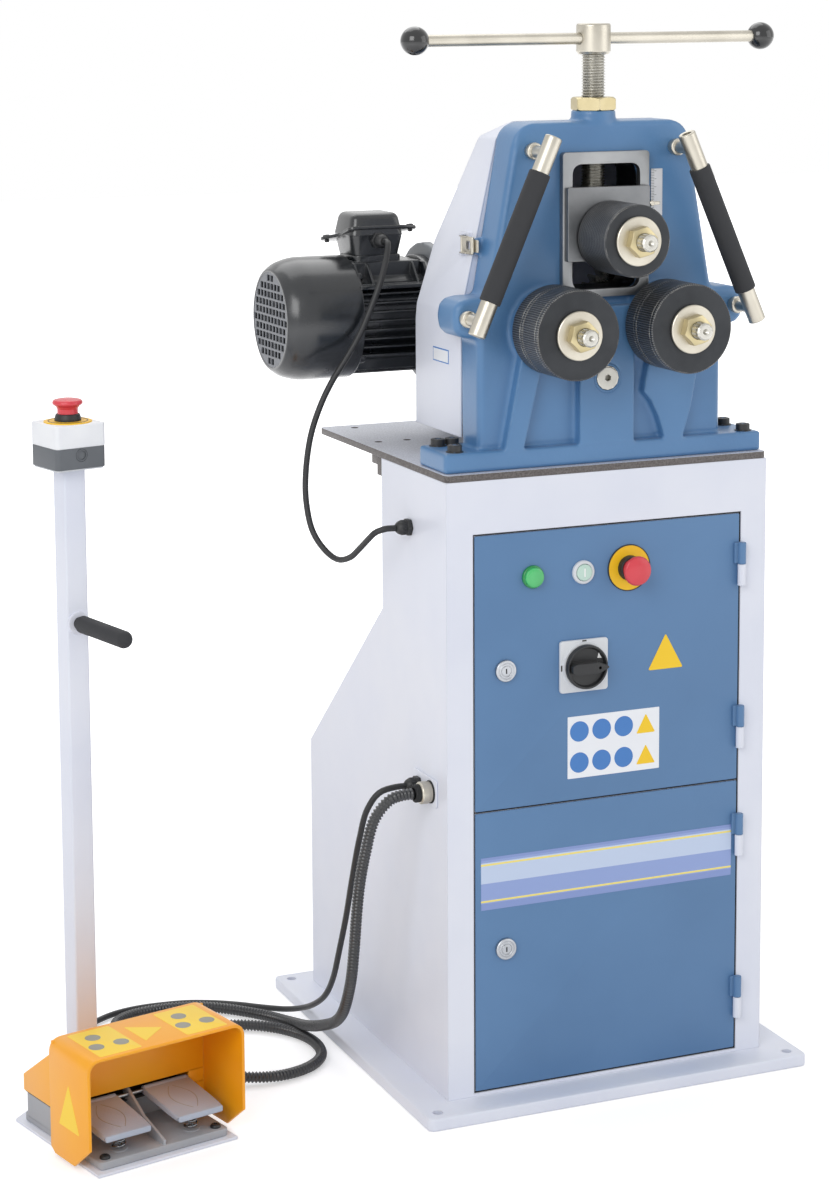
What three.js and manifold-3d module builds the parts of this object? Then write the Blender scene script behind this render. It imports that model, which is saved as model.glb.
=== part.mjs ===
// Ring roller: a motorised bending machine on a cabinet, with its foot console and stop post.
// Millimetres, +Z up, doors facing -Y. The origin is the middle of the base plate's underside.
import * as THREE from "three";
import { mergeVertices } from "three/addons/utils/BufferGeometryUtils.js";
import Module from "manifold-3d";

const wasm = await Module();
wasm.setup();

// Fits that several pieces share
const fit = {
  seat: 0.3, // gap left where one piece rests on another inside a turned group
  running: 0.35, // radial gap round a turning shaft
  over: 1, // how far a cut runs past the face it opens
  weld: 0.5, // how far welded pieces sink into each other
};

// Facet counts of round pieces and rounded corners
const facets = { small: 6, pin: 8, shaft: 12, round: 16, ring: 24, large: 24, arc: 3, bevel: 1, ballHigh: 8 };

// How many teeth, fins, rings and turns the repeated forms have
const counts = {
  gearTeeth: 36,
  pinionTeeth: 15,
  motorFins: 7,
  shoulderSteps: 3,
  domeSteps: 3,
  springTurns: 3.5,
  springSteps: 8,
  springSides: 5,
  hoseRibs: 64,
  hoseSides: 8,
  hoseBoreEvery: 5,
  cableSides: 8,
  cableSteps: 80,
};

// Machine sizes. Inside the machine group y is measured back from the cabinet's front face.
const base = { width: 542, depth: 560, thick: 16, frontMargin: 47, edge: 3, corner: 8, hole: 12, holeInset: 20 };
const cabinet = {
  width: 450,
  height: 792,
  depth: 475,
  topDepth: 207,
  backHeight: 352,
  slopeHeight: 242,
  wall: 3,
  lip: 13,
  sideFrame: 36,
  bottomFrame: 4,
  topFrame: 67,
};
const door = { thick: 2.7, gap: 2.5, stopGap: 0.3, lowerHeight: 362.5 };
const hinge = { outer: 10, pin: 5, half: 28, standOff: 5.3, leaf: 8, leafThick: 3, inset: 37, lowInset: 43 };
const lock = { head: 27.5, headHigh: 4, shank: 14, cam: 42, camWide: 12, camThick: 2.5, inset: 41, camGap: 5 };
const lockHeight = { upper: 178, lower: 183 };
const panelRow = { below: 57, lampX: -107.6, startX: -37.8, stopX: 27 };
const lamp = { bezel: 29, bezelHigh: 3, lens: 25, lensHigh: 9, shank: 22, shankLong: 38 };
const start = { bezel: 30, bezelHigh: 4, cap: 21, capHigh: 2, travel: 3.5, bore: 22 };
const stop = { disc: 60, discThick: 1.5, collar: 30, collarHigh: 9, neck: 26, head: 38, headHigh: 14, travel: 4 };
const mains = { plate: 67, plateThick: 5, corner: 4, collar: 61, collarHigh: 3, x: -37.7, below: 176.5, dial: 57, dialHigh: 8, bar: 14, barHigh: 16 };
const deck = { depth: 427, thick: 9, corner: 8, hole: 10, bracket: 34, bracketWide: 40, bracketThick: 12 };
const deckHole = { outer: 25, inner: 66, front: 278, back: 402 };

// Head sizes
const foot = { inset: 3, front: 9, depth: 82, thick: 25, corner: 4, bolt: 14, boltHigh: 9 };
const footBolt = { side: 19, nextSide: 38, front: 14, back: 16 };
const head = {
  front: 23,
  thick: 55,
  raised: 15,
  height: 427,
  topHalf: 122,
  waistHalf: 156,
  lowHalf: 170,
  topCorner: 22,
  bevel: 5,
  boss: 55,
  bossHigh: 13,
};
const ear = { reach: 203, z: 189, radius: 25, round: 22, fillet: 9 };
const lower = { x: 78, z: 173, radius: 56, rearRing: 30, frontRing: 42, boss: 50 };
const upper = { z: 285, radius: 45, long: 74 };
const axle = { radius: 15, end: 11, endLong: 35, shoulder: 21, lowShoulder: 3, highShoulder: 1.4, centre: 4 };
const clamp = { washer: 61, washerThick: 5, nut: 34, nutHigh: 13 };
const gear = { module: 4, wide: 24, behind: 12, hub: 24 };
const pinion = { radius: 15, socket: 12, socketDeep: 12, journal: 12.5, tail: 197, recess: 18.5, recessDeep: 3 };
const window = { half: 47, low: 219, high: 375, corner: 14 };
const guide = { half: 60, low: 209, high: 390, thick: 10, corner: 5 };
const slide = { half: 57, low: 255, high: 347, flange: 7.7, back: 60, bodyInset: 4, corner: 2 };
const screw = { radius: 15, y: 50.5, hubRise: 510, seatDeep: 22, hub: 21.5, hubHigh: 37 };
const nut = { flats: 50, high: 16 };
const bar = { radius: 7.3, half: 245, turn: 5.4 };
const ball = { radius: 17.5, flat: 4 };
const grab = { radius: 11, grip: 13.5, reach: 48, stub: 7.5, topX: 91, topZ: 412, lowX: 195, lowZ: 173 };
const grabShare = { gripFrom: 0.18, gripTo: 0.83, topStub: 0.08, lowStub: 0.93 };
const gusset = { rootLeftX: 128, rootRightX: 95, rootHalf: 13, topHalf: 26 };
const ruler = { x: 75, low: 307, high: 366, wide: 16, thick: 1.2 };

// Cover, drive and motor sizes
const cover = { gap: 0.3, wall: 2, low: 33, back: 143, top: 408, topBack: 49, bendLow: 168, bend: 271, bendBack: 122 };
const latch = { z: 274, plateWide: 24, plateHigh: 30, plateThick: 2, lever: 34, leverHigh: 22, leverThick: 2.5 };
const latchEar = { reach: 7, thick: 2.5, hook: 6 };
const drive = { y: 345, rise: 161, width: 140, thick: 104, high: 222, low: 22, flange: 94, flangeThick: 14 };
const driveNose = { radius: 46, long: 78, collar: 62, pad: 96, padDeep: 120 };
const motor = { end: 108, frame: 140, core: 66, fin: 78, finWide: 3.2, finPitch: 12.7, shield: 12 };
const cowl = { radius: 81.5, long: 103, lap: 26, wall: 2.6, round: 18 };
const grille = { radius: 62, slotWide: 8.5, slotHigh: 8.4, pitchWide: 12.5, pitchHigh: 11 };
const box = { wide: 81, deep: 75, low: 82.5, high: 55.5, x: 185, over: 2.5, corner: 12, roof: 6 };
const boxJoint = { front: 35.5, rear: 13.5, thick: 4, ear: 17, earLong: 34 };
const boxShare = { neck: 0.95, gland: 0.35 };
const gland = { radius: 9, nut: 20, nutHigh: 9, long: 20 };
const motorGland = { y: 113, wall: 82.7 };
const hoseGland = { z: 391, y: 47, nut: 27, long: 25, radius: 11 };
const cableGland = { z: 391, y: 84, long: 22 };
const entryPlate = { thick: 2, margin: 18 };

// Console sizes. The console group stands turned beside the machine.
const consolePlace = { x: -686.4, y: -10.4, turn: 12.6 };
const plate = { width: 196, depth: 212, thick: 4, tail: 34, tailHalf: 42 };
const pedalBase = { side: 8, front: 8, back: 204, floor: 10, wall: 3, lug: 3.5, rear: 108, rearHigh: 38, corner: 6 };
const fin = { half: 2, front: 10, high: 46, frontHigh: 6 };
const baseGland = { y: 160, z: 26, long: 16, radius: 11 };
const pedal = { wide: 64, long: 88, thick: 8, offset: 51, backZ: 55, tilt: 6.5, pivot: 4 };
const spring = { radius: 8, wire: 1.1, y: 34, leastGap: 0.4 };
const shield = { out: 20, rise: 148, depth: 97, wall: 4, corner: 16, low: 4, cut: 30, cutBack: 42, backLow: 66 };
const hood = { back: 204, rear: 64, top: 110, topBack: 136, high: 128, wall: 3, side: 8 };
const post = { x: 102, y: 222, wide: 30, high: 818.3, corner: 2 };
const postGrip = { radius: 11, long: 118, z: 628, neck: 8, neckLong: 3, boss: 29, bossHigh: 3 };
const postBox = { wide: 70, deep: 68, high: 57, corner: 5, edge: 2, knock: 8, knockDeep: 1.5 };
const postGland = { z: 24, long: 16, radius: 8, nut: 17 };
const hose = { radius: 7.5, valley: 6.2, bore: 3.4 };
const cable = { radius: 4, motor: 4, stepDiameters: 3 };

// Shades seen in the photograph
const shade = {
  blue: 0x5a82aa,
  white: 0xdfe3ee,
  black: 0x1b1c1f,
  rubber: 0x2a2b2e,
  steel: 0xa9a69c,
  plateSteel: 0x8d9094,
  zinc: 0xcfc6a4,
  chrome: 0xc9cbd0,
  red: 0xd23b46,
  yellow: 0xf5a81c,
  signal: 0xf2c818,
  green: 0x12954a,
  pale: 0xb9dccb,
  grey: 0x8f9196,
  drive: 0x6f7378,
};

// Heights and places that several pieces use
const floorTop = base.thick;
const cabinetTop = base.thick + cabinet.height;
const deckTop = cabinetTop + deck.thick;
const footTop = deckTop + foot.thick;
const footHalf = cabinet.width / 2 - foot.inset;
const headBack = head.front + head.thick;
const headTop = deckTop + head.height;
const raisedFront = head.front - head.raised;
const lowerZ = deckTop + lower.z;
const upperZ = deckTop + upper.z;
const meshDistance = (gear.module * (counts.gearTeeth + counts.pinionTeeth)) / 2;
const pinionZ = lowerZ - Math.sqrt(meshDistance ** 2 - lower.x ** 2);
const driveZ = deckTop + drive.rise;
const machineY = -base.depth / 2 + base.frontMargin;
const guideFront = head.front - guide.thick;
const slideFront = guideFront - fit.seat - slide.flange;
const doorRight = cabinet.width / 2 - cabinet.sideFrame - door.gap;
const doorLow = floorTop + cabinet.bottomFrame + door.gap;
const doorHigh = cabinetTop - cabinet.topFrame - door.gap;
const doorSplit = doorLow + door.lowerHeight;
const hingeX = cabinet.width / 2 - cabinet.sideFrame - door.gap / 2;
const doorBack = door.thick;

// Solid helpers
const up = new THREE.Vector3(0, 0, 1);
const right = new THREE.Vector3(1, 0, 0);
const back = new THREE.Vector3(0, 1, 0);

function solid(geometry) {
  const bare = geometry.index ? geometry.toNonIndexed() : geometry.clone();
  bare.deleteAttribute("normal");
  bare.deleteAttribute("uv");
  const merged = mergeVertices(bare);
  const corners = [...merged.index.array];
  const kept = [];
  for (let i = 0; i < corners.length; i += 3) {
    const [a, b, c] = corners.slice(i, i + 3);
    if (a !== b && b !== c && c !== a) kept.push(a, b, c);
  }
  const made = (triVerts) =>
    new wasm.Manifold(
      new wasm.Mesh({
        numProp: 3,
        vertProperties: merged.attributes.position.array,
        triVerts: new Uint32Array(triVerts),
      }),
    );
  const first = made(kept);
  return first.volume() < 0 ? made(kept.reverse()) : first;
}

const join = (...pieces) => pieces.reduce((a, b) => a.add(b));
const cut = (body, ...tools) => tools.reduce((a, b) => a.subtract(b), body);

function block(x0, x1, y0, y1, z0, z1) {
  const made = new THREE.BoxGeometry(x1 - x0, y1 - y0, z1 - z0);
  made.translate((x0 + x1) / 2, (y0 + y1) / 2, (z0 + z1) / 2);
  return solid(made);
}

// Turns a geometry built along +Z so that it runs along another axis.
function along(geometry, axis) {
  if (axis === "x") geometry.applyMatrix4(new THREE.Matrix4().makeBasis(back, up, right));
  if (axis === "y") geometry.applyMatrix4(new THREE.Matrix4().makeBasis(right, up, back.clone().negate()));
  return geometry;
}

// A profile pushed along an axis: its x and y are (x, y) for z, (x, z) for y and (y, z) for x.
function pushed(shape, axis, from, to, bevel = 0) {
  const made = new THREE.ExtrudeGeometry(shape, {
    depth: to - from - 2 * bevel,
    curveSegments: facets.arc,
    bevelEnabled: bevel > 0,
    bevelThickness: bevel,
    bevelSize: bevel,
    bevelOffset: -bevel,
    bevelSegments: facets.bevel,
  });
  made.translate(0, 0, (axis === "y" ? -to : from) + bevel);
  return solid(along(made, axis));
}

// A round bar along an axis. at gives its two other coordinates, in x, y, z order.
function rod(radius, axis, from, to, at, sides = facets.shaft, endRadius = radius) {
  const made = new THREE.CylinderGeometry(endRadius, radius, to - from, sides);
  const middle = (from + to) / 2;
  if (axis === "x") made.rotateZ(-Math.PI / 2).translate(middle, at[0], at[1]);
  if (axis === "y") made.translate(at[0], middle, at[1]);
  if (axis === "z") made.rotateX(Math.PI / 2).translate(at[0], at[1], middle);
  return solid(made);
}

// A turned piece: profile pairs are radius and height along the axis.
function turned(profile, axis, at, sides = facets.shaft) {
  const made = new THREE.LatheGeometry(profile.map(([r, h]) => new THREE.Vector2(r, h)), sides);
  if (axis === "z") made.rotateX(Math.PI / 2);
  if (axis === "x") made.rotateZ(-Math.PI / 2);
  made.translate(...at);
  return solid(made);
}

function polygon(points) {
  return new THREE.Shape(points.map(([x, y]) => new THREE.Vector2(x, y)));
}

// A closed outline whose corners are rounded: each point is x, y and its corner radius.
function rounded(points) {
  const shape = new THREE.Shape();
  points.forEach(([x, y, radius = 0], i) => {
    const corner = new THREE.Vector2(x, y);
    const before = new THREE.Vector2(...points[(i + points.length - 1) % points.length].slice(0, 2));
    const after = new THREE.Vector2(...points[(i + 1) % points.length].slice(0, 2));
    const half = before.clone().sub(corner).angleTo(after.clone().sub(corner)) / 2;
    const back = radius / Math.tan(half);
    const enter = corner.clone().add(before.sub(corner).setLength(back));
    const leave = corner.clone().add(after.sub(corner).setLength(back));
    if (i === 0) shape.moveTo(enter.x, enter.y);
    else shape.lineTo(enter.x, enter.y);
    if (radius > 0) shape.quadraticCurveTo(x, y, leave.x, leave.y);
  });
  shape.closePath();
  return shape;
}

function roundRect(x0, x1, y0, y1, radius) {
  return rounded([
    [x0, y0, radius],
    [x1, y0, radius],
    [x1, y1, radius],
    [x0, y1, radius],
  ]);
}

function hexagon(flats, x, y) {
  const radius = flats / Math.sqrt(3);
  const corner = (i) => [x + radius * Math.cos((i * Math.PI) / 3), y + radius * Math.sin((i * Math.PI) / 3)];
  return polygon([0, 1, 2, 3, 4, 5].map(corner));
}

// A mesh with its own material, made from a solid.
function piece(name, body, colour, roughness, metalness) {
  const mesh = body.getMesh();
  const vertices = new Float32Array(mesh.numVert * 3);
  for (let i = 0; i < mesh.numVert; i++) {
    vertices.set(mesh.vertProperties.subarray(i * mesh.numProp, i * mesh.numProp + 3), i * 3);
  }
  const geometry = new THREE.BufferGeometry();
  geometry.setAttribute("position", new THREE.BufferAttribute(vertices, 3));
  geometry.setIndex(new THREE.BufferAttribute(mesh.triVerts, 1));
  const flat = geometry.toNonIndexed();
  flat.computeVertexNormals();
  const made = new THREE.Mesh(flat, new THREE.MeshStandardMaterial({ color: colour, roughness, metalness }));
  made.name = name;
  return made;
}

const wallX = -cabinet.width / 2;
const machine = new THREE.Group();
machine.position.y = machineY;
const footConsole = new THREE.Group();
footConsole.position.set(consolePlace.x, machineY + consolePlace.y, 0);
footConsole.rotation.z = THREE.MathUtils.degToRad(consolePlace.turn);

// Base plate
function basePlate() {
  const half = base.width / 2;
  const front = -base.frontMargin;
  const outline = roundRect(-half, half, front, front + base.depth, base.corner);
  const holes = [-1, 1].flatMap((side) =>
    [front + base.holeInset, front + base.depth - base.holeInset].map((y) =>
      rod(base.hole / 2, "z", -fit.over, base.thick + fit.over, [side * (half - base.holeInset), y], facets.pin),
    ),
  );
  return cut(pushed(outline, "z", 0, base.thick, base.edge), ...holes);
}

// One barrel half of a door hinge, with its leaf on the side it is welded to.
function hingeHalf(z, side) {
  const leaf = side > 0 ? [hingeX, hingeX + hinge.leaf] : [hingeX - hinge.leaf, hingeX];
  return join(
    rod(hinge.outer / 2, "z", z, z + hinge.half, [hingeX, -hinge.standOff], facets.pin),
    block(leaf[0], leaf[1], -hinge.leafThick, fit.weld, z, z + hinge.half),
  );
}

// Heights of the joints between the door half and the frame half of each hinge.
const hingeSplits = {
  lower: [doorLow + hinge.lowInset + hinge.half, doorSplit - hinge.lowInset - hinge.half],
  upper: [doorSplit + door.gap + hinge.lowInset + hinge.half, doorHigh - hinge.inset - hinge.half],
};

function cabinetBody() {
  const half = cabinet.width / 2;
  const profile = (inset) =>
    polygon([
      [inset, floorTop + inset],
      [cabinet.depth - inset, floorTop + inset],
      [cabinet.depth - inset, floorTop + cabinet.backHeight],
      [cabinet.topDepth - inset, floorTop + cabinet.backHeight + cabinet.slopeHeight],
      [cabinet.topDepth - inset, cabinetTop - inset],
      [inset, cabinetTop - inset],
    ]);
  const shell = cut(
    pushed(profile(0), "x", -half, half),
    pushed(profile(cabinet.wall), "x", -half + cabinet.wall, half - cabinet.wall),
  );
  const opening = half - cabinet.sideFrame;
  const low = floorTop + cabinet.bottomFrame;
  const high = cabinetTop - cabinet.topFrame;
  const inner = cabinet.wall;
  const stop = cut(
    block(-opening - cabinet.lip, opening + cabinet.lip, inner, 2 * inner, low - fit.over, high + cabinet.lip),
    block(-opening + cabinet.lip, opening - cabinet.lip, 0, 2 * inner + fit.over, low + cabinet.lip, high - cabinet.lip),
  );
  const shelfZ = doorSplit + door.gap / 2;
  const shelf = join(
    block(-half + inner / 2, half - inner / 2, inner, cabinet.topDepth, shelfZ - inner / 2, shelfZ + inner / 2),
    block(-opening, opening, inner, 2 * inner, shelfZ - cabinet.lip, shelfZ + cabinet.lip),
  );
  const hinges = [...hingeSplits.lower, ...hingeSplits.upper].flatMap((z) => [
    hingeHalf(z - hinge.half - fit.seat, 1),
    rod(hinge.pin / 2, "z", z - hinge.half, z + hinge.half - hinge.pin, [hingeX, -hinge.standOff], facets.pin),
  ]);
  return join(cut(shell, block(-opening, opening, -fit.over, inner + fit.over, low, high)), stop, shelf, ...hinges);
}

// A screwed cable gland: a hexagon against the wall, then a round cap that ends at the tip.
function glandSolid(axis, wall, tip, at, radius = gland.radius, flats = gland.nut) {
  const nutEnd = wall + Math.sign(tip - wall) * gland.nutHigh;
  const span = (a, b) => [Math.min(a, b), Math.max(a, b)];
  return join(
    rod(radius, axis, ...span(wall, tip), at, facets.pin),
    pushed(hexagon(flats, at[0], at[1]), axis, ...span(wall, nutEnd)),
  );
}

function doorPanel(low, high, splits, holes) {
  const panel = block(-doorRight, doorRight, 0, doorBack, low, high);
  const barrels = splits.map((z) =>
    cut(
      hingeHalf(z, -1),
      rod(hinge.pin / 2 + fit.running, "z", z - fit.over, z + hinge.half - hinge.leafThick, [hingeX, -hinge.standOff], facets.pin),
    ),
  );
  return cut(join(panel, ...barrels), ...holes);
}

const lockX = -doorRight + lock.inset;
const lockAt = {
  upper: doorSplit + door.gap + lockHeight.upper,
  lower: doorLow + lockHeight.lower,
};
const lockHole = (z) =>
  rod(lock.shank / 2 + fit.running, "y", -fit.over, doorBack + fit.over, [lockX, z], facets.shaft);
const rowZ = doorHigh - panelRow.below;
const mainsZ = doorHigh - mains.below;

function upperDoor() {
  const hole = (radius, x, z) =>
    rod(radius, "y", -start.bezelHigh - fit.over, doorBack + fit.over, [x, z], facets.round);
  const bezel = rod(start.bezel / 2, "y", -start.bezelHigh, fit.weld, [panelRow.startX, rowZ], facets.round);
  const panel = doorPanel(doorSplit + door.gap, doorHigh, hingeSplits.upper, [
    lockHole(lockAt.upper),
    hole(lamp.shank / 2 + fit.running, panelRow.lampX, rowZ),
    hole(stop.neck / 2 + fit.running, panelRow.stopX, rowZ),
  ]);
  return cut(join(panel, bezel), hole(start.bore / 2, panelRow.startX, rowZ));
}

function lowerDoor() {
  return doorPanel(doorLow, doorSplit, hingeSplits.lower, [lockHole(lockAt.lower)]);
}

// Quarter-turn lock: a round head in front, a cam behind. The cam hangs down while unlocked, and its
// gap behind the door stop is that of a cranked cam.
function doorLock(z) {
  const camBack = 2 * cabinet.wall + lock.camGap;
  const keyway = block(
    lockX - lock.headHigh / 2,
    lockX + lock.headHigh / 2,
    -lock.headHigh - fit.over,
    -lock.headHigh / 2,
    z - lock.shank / 3,
    z + lock.shank / 3,
  );
  return cut(
    join(
      rod(lock.head / 2, "y", -lock.headHigh, -fit.seat, [lockX, z], facets.shaft),
      rod(lock.shank / 2, "y", -fit.over, camBack + lock.camThick, [lockX, z], facets.pin),
      pushed(
        roundRect(lockX - lock.camWide / 2, lockX + lock.camWide / 2, z - lock.cam, z + lock.camWide / 2, lock.camThick),
        "y",
        camBack,
        camBack + lock.camThick,
      ),
    ),
    keyway,
  );
}

function pilotLamp() {
  const at = [panelRow.lampX, 0, rowZ];
  const r = lamp.lens / 2;
  return join(
    rod(lamp.bezel / 2, "y", -lamp.bezelHigh, -fit.seat, [at[0], at[2]], facets.round),
    turned([[0, -lamp.lensHigh], [r - lamp.bezelHigh, -lamp.lensHigh], [r, -lamp.lensHigh + lamp.bezelHigh], [r, 0], [0, 0]], "y", at),
    rod(lamp.shank / 2, "y", -fit.over, lamp.shankLong, [at[0], at[2]]),
  );
}

// Start button: a cap that travels in the bezel, with the stem that works the switch.
function startButton() {
  const at = [panelRow.startX, rowZ];
  return join(
    rod(start.cap / 2, "y", -start.bezelHigh - start.capHigh, doorBack, at),
    rod(start.cap / 3, "y", doorBack - fit.weld, lamp.shankLong / 2, at),
  );
}

function stopCollar() {
  const at = [panelRow.stopX, 0, rowZ];
  const hole = stop.neck / 2 + fit.running;
  const high = stop.discThick + stop.collarHigh;
  return turned(
    [
      [hole, -high],
      [stop.collar / 2, -high],
      [stop.collar / 2, -stop.discThick],
      [stop.disc / 2, -stop.discThick],
      [stop.disc / 2, -fit.seat],
      [hole, -fit.seat],
      [hole, -high],
    ],
    "y",
    at,
    facets.round,
  );
}

function stopMushroom() {
  const at = [panelRow.stopX, 0, rowZ];
  const root = -(stop.discThick + stop.collarHigh + stop.travel + fit.over);
  return turned(
    [
      [0, root - stop.headHigh],
      [stop.head / 3, root - stop.headHigh],
      [stop.head / 2, root - stop.headHigh / 2],
      [stop.head / 2, root - stop.headHigh / 4],
      [stop.neck / 2, root],
      [stop.neck / 2, lamp.shankLong / 2],
      [0, lamp.shankLong / 2],
    ],
    "y",
    at,
    facets.round,
  );
}

// Square escutcheon of the mains switch, with the round collar that its dial turns on.
function switchPlate() {
  const half = mains.plate / 2;
  const face = mains.plateThick + mains.collarHigh;
  const outline = roundRect(mains.x - half, mains.x + half, mainsZ - half, mainsZ + half, mains.corner);
  const collar = rod(mains.collar / 2, "y", -face, -mains.plateThick + fit.weld, [mains.x, mainsZ], facets.round);
  const bore = rod(mains.bar / 2 + fit.running, "y", -face - fit.over, 0, [mains.x, mainsZ]);
  return cut(join(pushed(outline, "y", -mains.plateThick, -fit.seat), collar), bore);
}

// The mains switch's knob: a dial with a raised grip bar and a short spindle in the plate.
function switchKnob() {
  const at = [mains.x, mainsZ];
  const face = -mains.plateThick - mains.collarHigh - fit.seat;
  const half = mains.dial / 2;
  const reach = half - mains.corner / 2;
  return join(
    rod(half, "y", face - mains.dialHigh, face, at, facets.round, half - mains.dialHigh / 4),
    rod(mains.bar / 2, "y", face - fit.weld, -fit.over, at),
    pushed(
      roundRect(mains.x - reach, mains.x + reach, mainsZ - mains.bar / 2, mainsZ + mains.bar / 2, mains.bar / 4),
      "y",
      face - mains.barHigh,
      face - fit.weld,
    ),
  );
}

function deckPlate() {
  const half = cabinet.width / 2;
  const outline = polygon([
    [-half + deck.corner, 0],
    [half - deck.corner, 0],
    [half, deck.corner],
    [half, deck.depth],
    [-half, deck.depth],
    [-half, deck.corner],
  ]);
  const hole = (x, y) => rod(deck.hole / 2, "z", cabinetTop - fit.over, deckTop + fit.over, [x, y], facets.pin);
  const holes = [-1, 1].flatMap((side) => [
    hole(side * (half - deckHole.outer), deckHole.front),
    hole(side * (half - deckHole.inner), deckHole.front),
    hole(side * (half - deckHole.inner + deckHole.outer), deckHole.back),
  ]);
  const brackets = [-1, 1].map((side) => {
    const x = side * (half - deck.bracketThick / 2);
    const profile = polygon([
      [cabinet.topDepth + fit.seat, cabinetTop + fit.weld],
      [cabinet.topDepth + fit.seat, cabinetTop - deck.bracket],
      [cabinet.topDepth + deck.bracketThick, cabinetTop - deck.bracket],
      [cabinet.topDepth + deck.bracketWide, cabinetTop + fit.weld],
    ]);
    return pushed(profile, "x", x - deck.bracketThick / 2, x + deck.bracketThick / 2);
  });
  return join(cut(pushed(outline, "z", cabinetTop, deckTop), ...holes), ...brackets);
}

// Half-width of the head at a height above the deck, from its sloping outline.
const shoulder = { low: ear.z + ear.radius, high: head.height - head.topCorner };
const sideAt = (z) =>
  head.topHalf + ((head.waistHalf - head.topHalf) * (shoulder.high - z)) / (shoulder.high - shoulder.low);

// The same for the cover, whose flank leans out further down.
const coverSideAt = (z) =>
  head.topHalf + ((head.lowHalf - head.topHalf) * (shoulder.high - z)) / (shoulder.high - ear.z);

// The head's outline, mirrored about its middle, with rounded shoulders.
function headOutline(inset, withEars) {
  const low = deckTop + foot.thick - fit.weld;
  const earLow = deckTop + ear.z - ear.radius;
  const side = withEars
    ? [
        [head.lowHalf, low, 0],
        [head.lowHalf, earLow, ear.fillet],
        [ear.reach, earLow, ear.round],
        [ear.reach, deckTop + shoulder.low, ear.round],
        [head.waistHalf, deckTop + shoulder.low, ear.fillet],
      ]
    : [
        [head.lowHalf - inset, deckTop + cover.low, 0],
        [head.lowHalf - inset, deckTop + ear.z, ear.radius],
      ];
  const top = [
    [head.topHalf - inset, deckTop + shoulder.high, head.topCorner / 2],
    [head.topHalf - head.topCorner, headTop - inset, head.topCorner / 2],
  ];
  const half = [...side, ...top];
  return rounded([...half, ...half.map(([x, z, r]) => [-x, z, r]).reverse()]);
}

// Raised front of the casting: shaft bosses, middle column and the two gussets that carry them.
function raisedFace() {
  const column = lower.x / 2 - fit.over;
  const low = footTop - fit.weld;
  const middle = block(-column, column, raisedFront, head.front + fit.weld, low, lowerZ + lower.boss / 2);
  const bosses = [-1, 1].map((side) =>
    rod(lower.boss, "y", raisedFront, head.front + fit.weld, [side * lower.x, lowerZ], facets.large),
  );
  const top = lowerZ - lower.boss / 2;
  const leftFoot = polygon([
    [-gusset.rootLeftX - gusset.rootHalf, low],
    [-gusset.rootLeftX + gusset.rootHalf, low],
    [-lower.x - gusset.rootHalf / 2, top],
    [-lower.x - 1.5 * gusset.topHalf, top],
  ]);
  const rightFoot = new THREE.Shape();
  const waistZ = (low + top) / 2;
  rightFoot.moveTo(gusset.rootRightX - gusset.rootHalf, low);
  rightFoot.quadraticCurveTo(gusset.rootRightX - gusset.topHalf, waistZ - gusset.rootHalf, lower.x - gusset.topHalf, waistZ);
  rightFoot.quadraticCurveTo(lower.x - gusset.topHalf, waistZ + gusset.rootHalf, lower.x - gusset.rootHalf, top);
  rightFoot.lineTo(lower.x + 2 * gusset.topHalf, top);
  rightFoot.quadraticCurveTo(lower.x + 2 * gusset.topHalf, waistZ, gusset.rootRightX + gusset.rootHalf, low);
  rightFoot.closePath();
  return join(
    middle,
    ...bosses,
    pushed(leftFoot, "y", raisedFront, head.front + fit.weld),
    pushed(rightFoot, "y", raisedFront, head.front + fit.weld),
  );
}

// A running hole for the pressure screw, opened a little past both ends.
const screwBore = (from, to) =>
  rod(screw.radius + fit.running, "z", from - fit.over, to + fit.over, [0, screw.y], facets.round);

const boltPlaces = [-1, 1].flatMap((side) => [
  [side * (footHalf - footBolt.side), foot.front + footBolt.front],
  [side * (footHalf - footBolt.side), foot.front + foot.depth - footBolt.back],
  [side * (footHalf - footBolt.nextSide), foot.front + foot.depth - footBolt.back],
]);

function headCasting() {
  const sole = pushed(
    roundRect(-footHalf, footHalf, foot.front, foot.front + foot.depth, foot.corner),
    "z",
    deckTop,
    footTop,
  );
  const bolts = boltPlaces.map(([x, y]) =>
    pushed(hexagon(foot.bolt, x, y), "z", footTop - fit.weld, footTop + foot.boltHigh),
  );
  const body = pushed(headOutline(0, true), "y", head.front, headBack, head.bevel);
  const boss = rod(head.boss / 2, "z", headTop - fit.weld, headTop + head.bossHigh, [0, screw.y], facets.round);
  const hooks = [-1, 1].map((side) => {
    const inner = side * (sideAt(latch.z) - head.bevel);
    const outer = side * (coverSideAt(latch.z) + latch.plateThick + (latchEar.reach - latch.leverThick) / 2 - fit.seat);
    return block(
      Math.min(inner, outer),
      Math.max(inner, outer),
      headBack - latchEar.hook * 2,
      headBack - latchEar.hook,
      deckTop + latch.z - latch.leverHigh / 2,
      deckTop + latch.z + latch.leverHigh / 2,
    );
  });
  const bore = (radius, x, z) =>
    rod(radius + fit.running, "y", raisedFront - fit.over, headBack + fit.over, [x, z], facets.round);
  const opening = pushed(
    roundRect(-window.half, window.half, deckTop + window.low, deckTop + window.high, window.corner),
    "y",
    head.front - fit.over,
    headBack + fit.over,
  );
  const seat = block(
    -guide.half - fit.seat,
    guide.half + fit.seat,
    raisedFront - fit.over,
    head.front,
    deckTop + guide.low - fit.seat,
    deckTop + guide.high,
  );
  return cut(
    join(sole, ...bolts, body, boss, raisedFace(), ...hooks),
    seat,
    opening,
    bore(axle.radius, -lower.x, lowerZ),
    bore(axle.radius, lower.x, lowerZ),
    bore(pinion.radius, 0, pinionZ),
    rod(pinion.recess, "y", raisedFront - fit.over, raisedFront + pinion.recessDeep, [0, pinionZ], facets.round),
    screwBore(deckTop + window.high, headTop + head.bossHigh),
  );
}

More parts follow.
